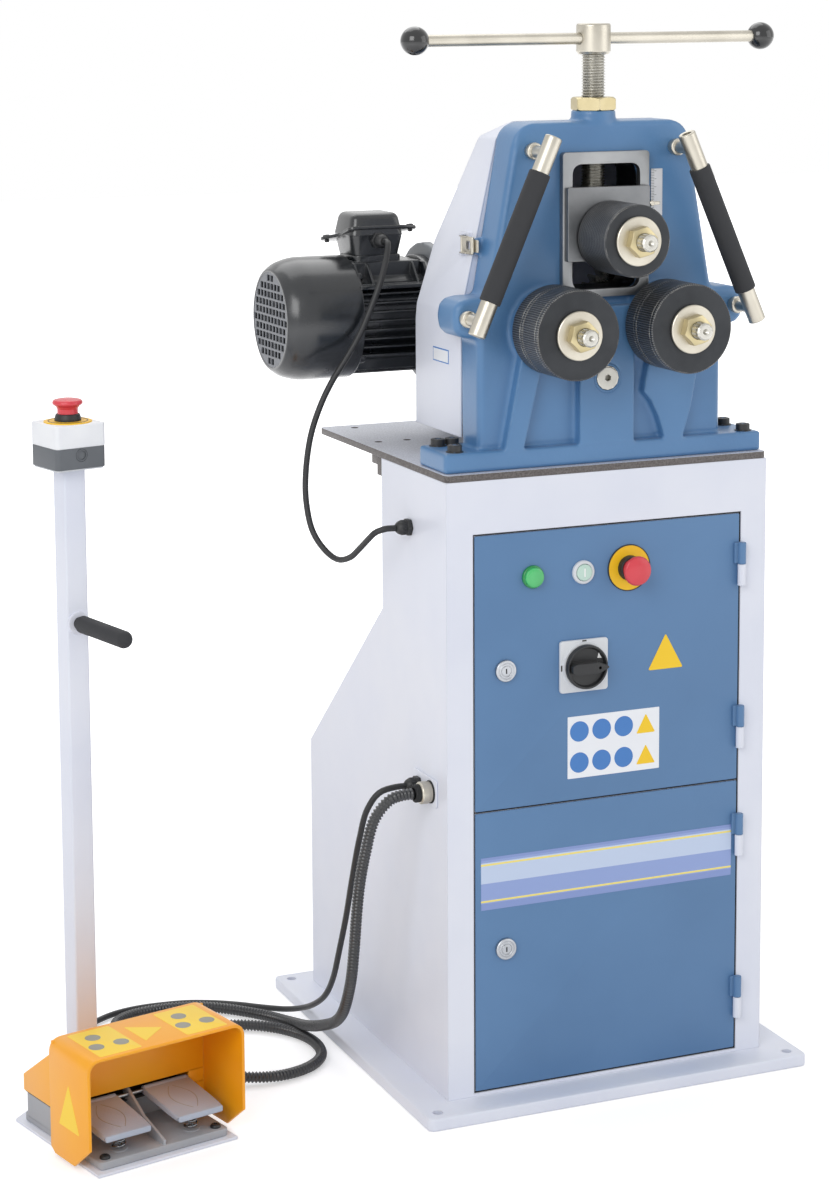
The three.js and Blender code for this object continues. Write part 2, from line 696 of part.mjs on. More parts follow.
function guidePlate() {
  const frame = roundRect(-guide.half, guide.half, deckTop + guide.low, deckTop + guide.high, guide.corner);
  const gap = roundRect(-window.half, window.half, deckTop + window.low, deckTop + window.high, window.corner);
  return cut(
    pushed(frame, "y", guideFront, head.front),
    pushed(gap, "y", guideFront - fit.over, head.front + fit.over),
  );
}

const slideBack = head.front + slide.back - guide.thick;

// Sliding block: a flange over the guide plate and a body in the head's window.
function slideBlock() {
  const half = window.half - fit.running;
  const backY = slideBack;
  const face = roundRect(-slide.half, slide.half, deckTop + slide.low, deckTop + slide.high, slide.corner);
  const low = deckTop + slide.low + slide.bodyInset;
  const high = deckTop + slide.high - slide.bodyInset;
  return cut(
    join(
      pushed(face, "y", slideFront, slideFront + slide.flange),
      pushed(roundRect(-half, half, low, high, window.corner), "y", slideFront + slide.flange - fit.weld, backY),
    ),
    rod(axle.radius + fit.running, "y", slideFront - fit.over, backY + fit.over, [0, upperZ], facets.round),
    screwBore(high - screw.seatDeep + fit.over, high),
  );
}

// Threaded spindle with its hub, which carries the cross bar.
const screwLow = deckTop + slide.high - slide.bodyInset - screw.seatDeep + fit.seat;
const hubLow = deckTop + screw.hubRise;
const barZ = hubLow + screw.hubHigh / 2;
function pressureScrew() {
  const at = [0, screw.y];
  const bore = bar.radius + fit.seat;
  const cross = rod(bore, "x", -screw.hub - fit.over, screw.hub + fit.over, [0, 0]);
  return cut(
    join(
      rod(screw.radius, "z", screwLow, hubLow + fit.weld, at),
      rod(screw.hub, "z", hubLow, hubLow + screw.hubHigh, at, facets.round),
    ),
    cross.rotate([0, 0, bar.turn]).translate([0, screw.y, barZ]),
  );
}

function screwNut() {
  const low = headTop + head.bossHigh;
  return cut(
    pushed(hexagon(nut.flats, 0, screw.y), "z", low, low + nut.high),
    screwBore(low, low + nut.high),
  );
}

// The cross bar and its balls are built along x, then turned with the hub.
const turnBar = (body) => body.rotate([0, 0, bar.turn]).translate([0, screw.y, barZ]);
const crossBar = () => turnBar(rod(bar.radius, "x", -bar.half, bar.half, [0, 0]));
function ballKnob(side) {
  const inner = bar.half - ball.radius / 2;
  const centre = inner + Math.sqrt(ball.radius ** 2 - ball.flat ** 2) - fit.seat;
  const sphere = solid(new THREE.SphereGeometry(ball.radius, facets.shaft, facets.ballHigh).translate(side * centre, 0, 0));
  const bore = rod(bar.radius + fit.seat, "x", -bar.half - fit.seat, bar.half + fit.seat, [0, 0]);
  return turnBar(cut(sphere, bore));
}

// Where the rollers' back faces and the steps of their shafts lie.
const lowerBack = raisedFront - fit.seat - axle.lowShoulder - fit.seat;
const upperBack = slideFront - fit.seat - axle.highShoulder - fit.seat;
const lowerFront = lowerBack - lower.rearRing - lower.frontRing;
const upperFront = upperBack - upper.long;

// A roller shaft: shoulder against the bearing face, journal, roller seat and threaded end.
function rollerShaft(x, z, bearingFace, ringBack, front, rear) {
  const end = front - axle.endLong;
  return turned(
    [
      [0, end + axle.centre],
      [axle.centre, end],
      [axle.end - axle.centre / 2, end],
      [axle.end, end + axle.centre / 2],
      [axle.end, front],
      [axle.radius, front],
      [axle.radius, ringBack + fit.seat],
      [axle.shoulder, ringBack + fit.seat],
      [axle.shoulder, bearingFace - fit.seat],
      [axle.radius, bearingFace - fit.seat],
      [axle.radius, rear],
      [0, rear],
    ],
    "y",
    [x, 0, z],
    facets.shaft,
  );
}

// A spur gear with straight-flanked teeth. phase turns it so that one tooth or gap meets its mate.
function gearSolid(teeth, x, z, from, to, phase) {
  const pitch = (gear.module * teeth) / 2;
  const share = { addendum: 0.85, dedendum: 1.2, tipHalf: 0.105, rootHalf: 0.33 };
  const step = (2 * Math.PI) / teeth;
  const points = [];
  for (let i = 0; i < teeth; i++) {
    const middle = phase + i * step;
    const tip = pitch + share.addendum * gear.module;
    const root = pitch - share.dedendum * gear.module;
    [
      [root, -share.rootHalf],
      [tip, -share.tipHalf],
      [tip, share.tipHalf],
      [root, share.rootHalf],
    ].forEach(([r, turn]) => {
      const angle = middle + turn * step;
      points.push([x + r * Math.cos(angle), z + r * Math.sin(angle)]);
    });
  }
  return pushed(polygon(points), "y", from, to);
}

const gearFront = headBack + gear.behind;
const gearBack = gearFront + gear.wide;
const meshAngle = (side) => Math.atan2(lowerZ - pinionZ, side * lower.x);

// The pinion has a tooth facing the right gear; each gear has a gap facing the pinion's nearest tooth.
const pinionPhase = meshAngle(1);
function gearPhase(side) {
  const pinionStep = (2 * Math.PI) / counts.pinionTeeth;
  const offset = (meshAngle(side) - pinionPhase) / pinionStep;
  const lead = (offset - Math.round(offset)) * ((2 * Math.PI) / counts.gearTeeth);
  return meshAngle(side) + Math.PI + lead + Math.PI / counts.gearTeeth;
}

function drivenShaft(side) {
  const x = side * lower.x;
  return join(
    rollerShaft(x, lowerZ, raisedFront, lowerBack, lowerFront, gearBack + axle.lowShoulder * 2),
    rod(gear.hub, "y", headBack + fit.over, gearBack + fit.over * 2, [x, lowerZ], facets.round),
    gearSolid(counts.gearTeeth, x, lowerZ, gearFront, gearBack, gearPhase(side)),
  );
}

function pinionShaft() {
  const socket = pushed(
    hexagon(pinion.socket, 0, pinionZ),
    "y",
    raisedFront - fit.over * 2,
    raisedFront + pinion.socketDeep,
  );
  return cut(
    join(
      rod(pinion.radius, "y", raisedFront - fit.over, gearFront + fit.over, [0, pinionZ]),
      rod(pinion.journal, "y", gearBack - fit.over, gearFront + pinion.tail, [0, pinionZ]),
      gearSolid(counts.pinionTeeth, 0, pinionZ, gearFront - fit.over, gearBack + fit.over, pinionPhase),
    ),
    socket,
  );
}

// A roller ring on its shaft, with chamfered rims.
function rollerRing(x, z, radius, from, to) {
  const chamfer = axle.centre / 3;
  const bore = axle.radius + fit.seat;
  return turned(
    [
      [bore, from],
      [radius - chamfer, from],
      [radius, from + chamfer],
      [radius, to - chamfer],
      [radius - chamfer, to],
      [bore, to],
      [bore, from],
    ],
    "y",
    [x, 0, z],
    facets.ring,
  );
}

function rearRing(side) {
  return rollerRing(side * lower.x, lowerZ, lower.radius, lowerBack - lower.rearRing, lowerBack);
}

function frontRing(side) {
  return rollerRing(side * lower.x, lowerZ, lower.radius, lowerFront, lowerBack - lower.rearRing - fit.seat);
}

// Clamp nut with its washer, on the threaded end of a shaft.
function clampNut(x, z, front) {
  const at = [x, z];
  const washerFront = front - fit.seat - clamp.washerThick;
  const nutFront = washerFront - clamp.nutHigh;
  return cut(
    join(
      rod(clamp.washer / 2, "y", washerFront, front - fit.seat, at, facets.round),
      pushed(hexagon(clamp.nut, x, z), "y", nutFront, washerFront + fit.weld),
    ),
    rod(axle.end + fit.seat, "y", nutFront - fit.over, front + fit.over, at),
  );
}

// Grab bar beside the rollers: a round bar on two stubs that stand out from the casting.
const grabY = head.front - grab.reach;
const grabTop = (side) => new THREE.Vector3(side * grab.topX, grabY, deckTop + grab.topZ);
const grabLow = (side) => new THREE.Vector3(side * grab.lowX, grabY, deckTop + grab.lowZ);

function between(radius, from, to, sides) {
  const made = new THREE.CylinderGeometry(radius, radius, from.distanceTo(to), sides);
  const lean = new THREE.Quaternion().setFromUnitVectors(back, to.clone().sub(from).normalize());
  made.applyQuaternion(lean);
  made.translate(...from.clone().add(to).multiplyScalar(1 / 2));
  return solid(made);
}

function grabBar(side) {
  const top = grabTop(side);
  const low = grabLow(side);
  const stubs = [grabShare.topStub, grabShare.lowStub].map((share) => {
    const at = top.clone().lerp(low, share);
    return rod(grab.stub, "y", grabY, head.front, [at.x, at.z], facets.pin);
  });
  return join(between(grab.radius, top, low, facets.shaft), ...stubs);
}

function grabGrip(side) {
  const top = grabTop(side);
  const low = grabLow(side);
  const from = top.clone().lerp(low, grabShare.gripFrom);
  const to = top.clone().lerp(low, grabShare.gripTo);
  const past = to.clone().sub(from).setLength(fit.over);
  return cut(
    between(grab.grip, from, to, facets.shaft),
    between(grab.radius + fit.seat, from.clone().sub(past), to.clone().add(past), facets.shaft),
  );
}

// Sheet cover over the gears: the head's outline crossed with a side profile that leans forward.
function coverSolid(inset, front) {
  const outline = pushed(headOutline(inset, false), "y", front, headBack + cover.back);
  const low = deckTop + cover.low;
  const backY = headBack + cover.back - inset;
  const profile = polygon([
    [front, low - (inset > 0 ? fit.over : 0)],
    [backY, low - (inset > 0 ? fit.over : 0)],
    [backY, deckTop + cover.bendLow],
    [headBack + cover.bendBack - inset, deckTop + cover.bend],
    [headBack + cover.topBack - inset, deckTop + cover.top - inset],
    [front, headTop - inset],
  ]);
  const half = head.lowHalf + fit.over;
  return outline.intersect(pushed(profile, "x", -half, half));
}

function rearCover() {
  const front = headBack + cover.gap;
  const innards = coverSolid(cover.wall, front - fit.over);
  const below = block(
    -head.lowHalf + cover.wall,
    head.lowHalf - cover.wall,
    front - fit.over,
    headBack + cover.back - cover.wall,
    deckTop + cover.low - fit.over,
    deckTop + cover.low + fit.over,
  );
  const noseHole = rod(driveNose.radius + fit.over, "y", headBack, headBack + cover.back + fit.over, [0, pinionZ], facets.round);
  const inside = coverSolid(cover.wall, front);
  const latchBases = [-1, 1].map((side) => cut(latchBase(side), inside));
  const shell = cut(coverSolid(0, front), innards, below, noseHole);
  return join(shell, ...latchBases);
}

// Base plate and pin lugs of one cover latch.
function latchBase(side) {
  const x = side * coverSideAt(latch.z);
  const hub = headBack + latch.plateWide;
  const across = (inner, outer) => [Math.min(x + side * inner, x + side * outer), Math.max(x + side * inner, x + side * outer)];
  const z = deckTop + latch.z;
  const lugs = [-1, 1].map((end) => {
    const middle = z + end * (latch.leverHigh / 2 + fit.seat + latchEar.thick / 2);
    return block(
      ...across(0, latch.plateThick + latchEar.reach),
      hub - latchEar.reach / 2,
      hub + latchEar.reach / 2,
      middle - latchEar.thick / 2,
      middle + latchEar.thick / 2,
    );
  });
  const backing = block(
    ...across(-head.bevel, latch.plateThick),
    hub - latch.plateWide / 2,
    hub + latch.plateWide / 2,
    z - latch.plateHigh / 2,
    z + latch.plateHigh / 2,
  );
  return join(backing, ...lugs);
}

const latchPin = (side) => ({
  x: side * (coverSideAt(latch.z) + latch.plateThick + latchEar.reach / 2),
  y: headBack + latch.plateWide,
});

// Toggle lever of a cover latch: it turns on its pin and reaches over the hook on the casting.
function latchLever(side) {
  const pin = latchPin(side);
  const z = deckTop + latch.z;
  const half = latch.leverHigh / 2;
  const leaf = block(
    pin.x - latch.leverThick / 2,
    pin.x + latch.leverThick / 2,
    pin.y - latch.lever,
    pin.y,
    z - half,
    z + half,
  );
  return join(leaf, rod(latchEar.reach / 3, "z", z - half, z + half, [pin.x, pin.y], facets.pin));
}

// Worm gearbox: a ribbed case on a pad, the motor flange on its left and the output nose in front.
function gearboxSolid() {
  const half = drive.width / 2;
  const frontY = drive.y - drive.thick / 2;
  const backY = drive.y + drive.thick / 2;
  const low = deckTop + drive.low;
  const caseBody = pushed(
    rounded([
      [-half, low, half / 3],
      [half, low, half / 3],
      [half, deckTop + drive.high, half / 2],
      [-half, deckTop + drive.high, half / 2],
    ]),
    "y",
    frontY,
    backY,
    head.bevel,
  );
  const pad = block(
    -driveNose.pad / 2,
    driveNose.pad / 2,
    drive.y - driveNose.padDeep / 2,
    drive.y + driveNose.padDeep / 2,
    deckTop,
    low + fit.weld,
  );
  const flangeX = -motor.end + fit.seat;
  const flange = rod(drive.flange, "x", flangeX, flangeX + drive.flangeThick, [drive.y, driveZ], facets.large);
  const cone = rod(
    drive.flange * 0.7,
    "x",
    flangeX + drive.flangeThick - fit.weld,
    -half + head.bevel,
    [drive.y, driveZ],
    facets.round,
    drive.thick / 2 - head.bevel,
  );
  const nose = rod(driveNose.radius, "y", frontY - driveNose.long, frontY + head.bevel, [0, pinionZ], facets.round);
  const collar = rod(driveNose.collar, "y", frontY - driveNose.long / 4, frontY + head.bevel, [0, pinionZ], facets.round);
  const bore = rod(
    pinion.journal + fit.running,
    "y",
    frontY - driveNose.long - fit.over,
    backY - drive.thick / 3,
    [0, pinionZ],
    facets.round,
  );
  return cut(join(caseBody, pad, flange, cone, nose, collar), bore);
}

// Motor frame: a round core with rows of straight cooling fins above, below and on its sides, an end
// shield, and the pad under its terminal box.
function motorBody() {
  const frameEnd = -motor.end - motor.frame;
  const finsEnd = -motor.end - motor.shield;
  const at = [drive.y, driveZ];
  const half = motor.finWide / 2;
  const fins = [];
  for (let i = 0; i < counts.motorFins; i++) {
    const offset = (i - (counts.motorFins - 1) / 2) * motor.finPitch;
    const reach = Math.sqrt(motor.fin ** 2 - (Math.abs(offset) + half) ** 2);
    fins.push(
      block(frameEnd, finsEnd, at[0] - reach, at[0] + reach, at[1] + offset - half, at[1] + offset + half),
      block(frameEnd, finsEnd, at[0] + offset - half, at[0] + offset + half, at[1] - reach, at[1] + reach),
    );
  }
  const boxTop = driveZ + box.low;
  const neck = box.deep * boxShare.neck;
  return join(
    rod(motor.core, "x", frameEnd, finsEnd, at, facets.large),
    ...fins,
    rod(motor.fin, "x", finsEnd - fit.weld, -motor.end, at, facets.large),
    rod(motor.core - motor.shield, "x", frameEnd - motor.shield, frameEnd + fit.weld, at, facets.round),
    rod(motor.shield, "x", frameEnd - 3 * motor.shield, frameEnd, at, facets.pin),
    block(-box.x - neck / 2, -box.x + neck / 2, drive.y - neck / 2, drive.y + neck / 2, driveZ, boxTop - fit.seat),
  );
}

// Fan cowl: a drawn cup with a round shoulder, and rows of slots in its end that form a grille.
function fanCowl() {
  const mouth = -motor.end - motor.frame + cowl.lap;
  const end = mouth - cowl.long;
  const shoulder = (inset) =>
    Array.from({ length: counts.shoulderSteps + 1 }, (_, i) => {
      const angle = ((i / counts.shoulderSteps) * Math.PI) / 2;
      const round = cowl.round - inset;
      return [cowl.radius - cowl.round + round * Math.sin(angle), end + cowl.round - round * Math.cos(angle)];
    });
  const cup = turned(
    [
      [0, end],
      ...shoulder(0),
      [cowl.radius, mouth],
      [cowl.radius - cowl.wall, mouth],
      ...shoulder(cowl.wall).reverse(),
      [0, end + cowl.wall],
    ],
    "x",
    [0, drive.y, driveZ],
    facets.large,
  );
  const slots = [];
  const rows = Math.floor((grille.radius - grille.slotHigh / 2) / grille.pitchHigh);
  for (let row = -rows; row <= rows; row++) {
    const z = driveZ + row * grille.pitchHigh;
    const far = Math.abs(row) * grille.pitchHigh + grille.slotHigh / 2;
    const chord = Math.sqrt(grille.radius ** 2 - far ** 2);
    const inRow = Math.floor((2 * chord + grille.pitchWide - grille.slotWide) / grille.pitchWide);
    for (let i = 0; i < inRow; i++) {
      const y = drive.y + (i - (inRow - 1) / 2) * grille.pitchWide;
      slots.push(
        block(
          end - fit.over,
          end + cowl.wall + fit.over,
          y - grille.slotWide / 2,
          y + grille.slotWide / 2,
          z - grille.slotHigh / 2,
          z + grille.slotHigh / 2,
        ),
      );
    }
  }
  return cut(cup, ...slots);
}

// Terminal box: a rounded body with its gland, and the rim of a lid whose joint slopes to the rear, with a
// screw ear at two opposite corners.
function terminalBox() {
  const low = driveZ + box.low;
  const half = { x: box.wide / 2, y: box.deep / 2 };
  const corners = [
    [-half.x, -half.y, box.corner],
    [half.x - box.corner, -half.y, box.corner / 2],
    [half.x + boxJoint.ear, -half.y + box.corner / 2, box.corner / 2],
    [half.x + boxJoint.ear, -half.y + (3 * box.corner) / 2, box.corner / 2],
    [half.x, -half.y + boxJoint.earLong, box.corner / 2],
  ];
  const rimOutline = rounded(
    [...corners, ...corners.map(([x, y, radius]) => [-x, -y, radius])].map(([x, y, radius]) => [x - box.x, y + drive.y, radius]),
  );
  const slope = (boxJoint.rear - boxJoint.front) / box.deep;
  const jointAt = (offset) => low + (boxJoint.front + boxJoint.rear) / 2 + slope * offset;
  const band = polygon([
    [drive.y - box.deep, jointAt(-box.deep)],
    [drive.y + box.deep, jointAt(box.deep)],
    [drive.y + box.deep, jointAt(box.deep) + boxJoint.thick],
    [drive.y - box.deep, jointAt(-box.deep) + boxJoint.thick],
  ]);
  const rim = pushed(rimOutline, "z", low - box.high, low + 2 * box.high).intersect(
    pushed(band, "x", -box.x - box.wide, -box.x + box.wide),
  );
  const body = roundRect(
    -box.x - half.x + box.over,
    -box.x + half.x - box.over,
    drive.y - half.y + box.over,
    drive.y + half.y - box.over,
    box.corner,
  );
  const wall = drive.y - half.y + box.over;
  return join(
    pushed(body, "z", low, low + box.high, box.roof),
    rim,
    glandSolid("y", wall + fit.weld, motorGlandTip, motorGlandAt),
  );
}

const motorGlandAt = [-box.x, driveZ + box.low + box.high * boxShare.gland];
const motorGlandTip = drive.y - box.deep / 2 + box.over - gland.long;
const wallGlandAt = [motorGland.y, deckTop - motorGland.wall];
const wallGlandTip = -cabinet.width / 2 - fit.seat - gland.long;
const hoseGlandAt = [hoseGland.y, floorTop + hoseGland.z];
const hoseGlandTip = -cabinet.width / 2 - fit.seat - hoseGland.long;

// Console pieces, in the console's own turned frame
function consolePlate() {
  const middle = plate.width / 2;
  return pushed(
    polygon([
      [0, 0],
      [plate.width, 0],
      [plate.width, plate.depth],
      [middle + plate.tailHalf, plate.depth + plate.tail],
      [middle - plate.tailHalf, plate.depth + plate.tail],
      [0, plate.depth],
    ]),
    "z",
    0,
    plate.thick,
  );
}

const pedalLow = plate.thick + fit.seat;
const pedalFloor = pedalLow + pedalBase.floor;
const housingTop = pedalLow + pedalBase.rearHigh;
const baseRight = plate.width - pedalBase.side;
const pedalMiddle = plate.width / 2;
const pedalX = (side) => pedalMiddle + side * pedal.offset;
const pedalPivot = { y: pedalBase.front + pedal.long, z: pedal.backZ - pedal.thick / 2 };
const pedalSlope = Math.tan(THREE.MathUtils.degToRad(pedal.tilt));

// Cast pedal base: floor, raised rear housing, middle fin, and lugs that carry the pedals' pin.
function pedalBaseSolid() {
  const x0 = pedalBase.side;
  const floor = pushed(
    roundRect(x0, baseRight, pedalBase.front, pedalBase.back, pedalBase.corner),
    "z",
    pedalLow,
    pedalFloor,
  );
  const rear = block(x0, baseRight, pedalBase.rear, pedalBase.back - pedalBase.corner, pedalFloor - fit.weld, housingTop);
  const backY = pedalBase.rear + fit.weld;
  const web = pushed(
    polygon([
      [fin.front, pedalFloor - fit.weld],
      [backY, pedalFloor - fit.weld],
      [backY, pedalFloor + fin.high],
      [backY - pedalBase.corner, pedalFloor + fin.high],
      [(fin.front + backY) / 2, pedalFloor + fin.high / 2 - fin.frontHigh / 2],
      [fin.front, pedalFloor + fin.frontHigh],
    ]),
    "x",
    pedalMiddle - fin.half,
    pedalMiddle + fin.half,
  );
  const pin = rod(
    pedal.pivot - 2 * fit.running,
    "x",
    x0 + pedalBase.lug,
    baseRight - pedalBase.lug,
    [pedalPivot.y, pedalPivot.z],
    facets.small,
  );
  const lugs = [x0 + pedalBase.lug, baseRight - pedalBase.lug - pedalBase.wall].map((x) =>
    block(
      x,
      x + pedalBase.wall,
      pedalPivot.y - pedal.pivot,
      backY,
      pedalFloor - fit.weld,
      pedalPivot.z + pedal.pivot,
    ),
  );
  const inlet = glandSolid(
    "x",
    baseRight - fit.weld,
    baseRight + baseGland.long,
    [baseGland.y, baseGland.z],
    baseGland.radius,
    hoseGland.nut,
  );
  return join(floor, rear, web, pin, ...lugs, inlet);
}

// Pedal: a sloping cast plate with a round bush at its back, which turns on the base's pin.
function pedalSolid(side) {
  const half = pedal.wide / 2;
  const x = pedalX(side);
  const top = pedalPivot.z + pedal.thick / 2;
  const drop = pedal.long * pedalSlope;
  const frontY = pedalPivot.y - pedal.long;
  const profile = rounded([
    [pedalPivot.y, top - pedal.thick, 0],
    [pedalPivot.y, top, 0],
    [frontY, top - drop, pedal.thick / 3],
    [frontY, top - drop - pedal.thick, pedal.thick / 3],
  ]);
  const bush = rod(
    pedal.pivot + pedalBase.wall / 2,
    "x",
    x - half,
    x + half,
    [pedalPivot.y, pedalPivot.z],
    facets.pin,
  );
  return cut(
    join(pushed(profile, "x", x - half, x + half), bush),
    rod(pedal.pivot, "x", x - pedal.wide, x + pedal.wide, [pedalPivot.y, pedalPivot.z], facets.small),
  );
}

// Coil under a pedal. It prints the least gap between its own curls.
function pedalSpring(side) {
  const low = pedalFloor + fit.seat + spring.wire;
  const underside = pedalPivot.z - pedal.thick / 2 - (pedalPivot.y - spring.y - spring.radius) * pedalSlope;
  const high = underside - pedal.thick / 4 - spring.wire;
  const count = Math.round(counts.springTurns * counts.springSteps);
  const points = [];
  for (let i = 0; i <= count; i++) {
    const angle = (i * 2 * Math.PI) / counts.springSteps;
    const share = i / count;
    points.push(
      new THREE.Vector3(
        pedalX(side) + spring.radius * Math.cos(angle),
        spring.y + spring.radius * Math.sin(angle),
        low + (high - low) * share,
      ),
    );
  }
  const curve = new THREE.CatmullRomCurve3(points);
  let least = Infinity;
  points.forEach((a, i) =>
    points.slice(i + counts.springSteps - 2).forEach((b) => {
      least = Math.min(least, a.distanceTo(b) - 2 * spring.wire);
    }),
  );
  console.log("spring: least gap to itself " + least.toFixed(2) + " mm, wanted over " + spring.leastGap);
  return solid(sweep(curve, spring.wire, counts.springSides, count));
}

// A round section swept along a curve.
function sweep(curve, radius, sides, steps) {
  const section = [];
  for (let i = 0; i < sides; i++) {
    const angle = (i * 2 * Math.PI) / sides;
    section.push(new THREE.Vector2(radius * Math.cos(angle), radius * Math.sin(angle)));
  }
  return new THREE.ExtrudeGeometry(new THREE.Shape(section), {
    steps,
    extrudePath: curve,
    bevelEnabled: false,
  });
}

// Bent sheet shield over the pedals, with the hood that covers the rear housing.
function pedalShield() {
  const left = -shield.out + pedalBase.side;
  const rightX = plate.width - left;
  const low = shield.low + fit.over;
  const front = rounded([
    [left, low, 0],
    [rightX, low, 0],
    [rightX, shield.rise, shield.corner],
    [left, shield.rise, shield.corner],
  ]);
  const inner = rounded([
    [left + shield.wall, low - fit.over, 0],
    [rightX - shield.wall, low - fit.over, 0],
    [rightX - shield.wall, shield.rise - shield.wall, shield.corner - shield.wall],
    [left + shield.wall, shield.rise - shield.wall, shield.corner - shield.wall],
  ]);
  const shell = cut(
    pushed(front, "y", 0, shield.depth),
    pushed(inner, "y", -fit.over, shield.depth - shield.wall),
    block(
      left + shield.wall,
      rightX - shield.wall,
      shield.depth - shield.wall - fit.over,
      shield.depth + fit.over,
      low - fit.over,
      shield.backLow,
    ),
    pushed(
      polygon([
        [-fit.over, low - fit.over],
        [shield.cutBack, low - fit.over],
        [0, low + shield.cut],
        [-fit.over, low + shield.cut],
      ]),
      "x",
      left - fit.over,
      rightX + fit.over,
    ),
  );
  const start = shield.depth - fit.weld;
  const hoodLow = housingTop + fit.seat;
  const hoodProfile = (inset) =>
    polygon([
      [start - (inset > 0 ? fit.over : 0), hoodLow - (inset > 0 ? fit.over : 0)],
      [hood.back - inset, hoodLow - (inset > 0 ? fit.over : 0)],
      [hood.back - inset, hood.rear - inset],
      [hood.topBack - inset, hood.top - inset],
      [start - (inset > 0 ? fit.over : 0), hood.high - inset],
    ]);
  const cap = cut(
    pushed(hoodProfile(0), "x", hood.side, plate.width - hood.side),
    pushed(hoodProfile(hood.wall), "x", hood.side + hood.wall, plate.width - hood.side - hood.wall),
  );
  return join(shell, cap);
}

const postFront = post.y - post.wide / 2;
const postBack = post.y + post.wide / 2;
const postTop = pedalLow + post.high;

function postSolid() {
  const half = post.wide / 2;
  const outline = roundRect(post.x - half, post.x + half, postFront, postBack, post.corner);
  const inlet = glandSolid(
    "y",
    postBack - fit.weld,
    postBack + postGland.long,
    [post.x, postGland.z],
    postGland.radius,
    postGland.nut,
  );
  const boss = rod(postGrip.boss / 2, "y", postFront - postGrip.bossHigh, postFront + fit.weld, [post.x, postGrip.z], facets.round);
  return join(pushed(outline, "z", pedalLow, postTop), boss, inlet);
}

function gripSolid() {
  const root = postFront - postGrip.bossHigh - fit.seat;
  const neckEnd = root - postGrip.neckLong;
  const end = neckEnd - postGrip.long;
  const at = [post.x, 0, postGrip.z];
  const edge = postGrip.neckLong / 2;
  const dome = Array.from({ length: counts.domeSteps + 1 }, (_, i) => {
    const angle = ((i / counts.domeSteps) * Math.PI) / 2;
    return [postGrip.radius * Math.sin(angle), end + postGrip.radius * (1 - Math.cos(angle))];
  });
  return turned(
    [
      ...dome,
      [postGrip.radius, neckEnd - edge],
      [postGrip.radius - edge, neckEnd],
      [postGrip.neck, neckEnd],
      [postGrip.neck, root],
      [0, root],
    ],
    "y",
    at,
  );
}

const postBoxLow = postTop + fit.seat;
const postBoxTop = postBoxLow + postBox.high;

// Box of the post's stop button, with the ring and collar round the button.
function postBoxSolid() {
  const frontY = post.y - postBox.deep / 2;
  const outline = roundRect(
    post.x - postBox.wide / 2,
    post.x + postBox.wide / 2,
    frontY,
    frontY + postBox.deep,
    postBox.corner,
  );
  const at = [post.x, post.y];
  const collarTop = postBoxTop + stop.discThick + stop.collarHigh;
  const knock = rod(
    postBox.knock,
    "y",
    frontY - fit.over,
    frontY + postBox.knockDeep,
    [post.x, postBoxLow + postBox.high / 3],
    facets.shaft,
  );
  return cut(
    join(
      pushed(outline, "z", postBoxLow, postBoxTop, postBox.edge),
      rod(stop.disc / 2, "z", postBoxTop - fit.weld, postBoxTop + stop.discThick, at, facets.round),
      rod(stop.collar / 2, "z", postBoxTop, collarTop, at, facets.round),
    ),
    rod(stop.neck / 2 + fit.running, "z", postBoxTop - postBox.high / 2, collarTop + fit.over, at, facets.round),
    knock,
  );
}

function postMushroom() {
  const root = postBoxTop + stop.discThick + stop.collarHigh + stop.travel + fit.over;
  return turned(
    [
      [0, postBoxTop - postBox.high / 4],
      [stop.neck / 2, postBoxTop - postBox.high / 4],
      [stop.neck / 2, root],
      [stop.head / 2, root + stop.headHigh / 4],
      [stop.head / 2, root + stop.headHigh / 2],
      [stop.head / 3, root + stop.headHigh],
      [0, root + stop.headHigh],
    ],
    "z",
    [post.x, post.y, 0],
    facets.round,
  );
}

// Both low cable glands on the small plate that they share.
function cableEntry() {
  const plateFace = wallX - fit.seat - entryPlate.thick;
  return join(
    block(
      plateFace,
      wallX - fit.seat,
      hoseGland.y - entryPlate.margin,
      cableGland.y + entryPlate.margin,
      floorTop + hoseGland.z - entryPlate.margin,
      floorTop + hoseGland.z + entryPlate.margin,
    ),
    glandSolid("x", plateFace + fit.weld, hoseGlandTip, hoseGlandAt, hoseGland.radius, hoseGland.nut),
    glandSolid("x", plateFace + fit.weld, wallX - cableGland.long, [cableGland.y, floorTop + cableGland.z]),
  );
}

// A point of the console's own frame, seen from the machine's frame.
const consoleTurn = THREE.MathUtils.degToRad(consolePlace.turn);
function fromConsole(x, y, z) {
  const point = new THREE.Vector3(x, y, z).applyAxisAngle(up, consoleTurn);
  return [point.x + consolePlace.x, point.y + consolePlace.y, z];
}

// How far each cord runs straight from its gland, and what it has dropped to by its next point.
const lead = { cable: 12, second: 24, across: 6, drop: 16, wall: 14, hose: 15, inlet: 17, far: 50, farHigh: 16, post: 30, postHigh: 19 };

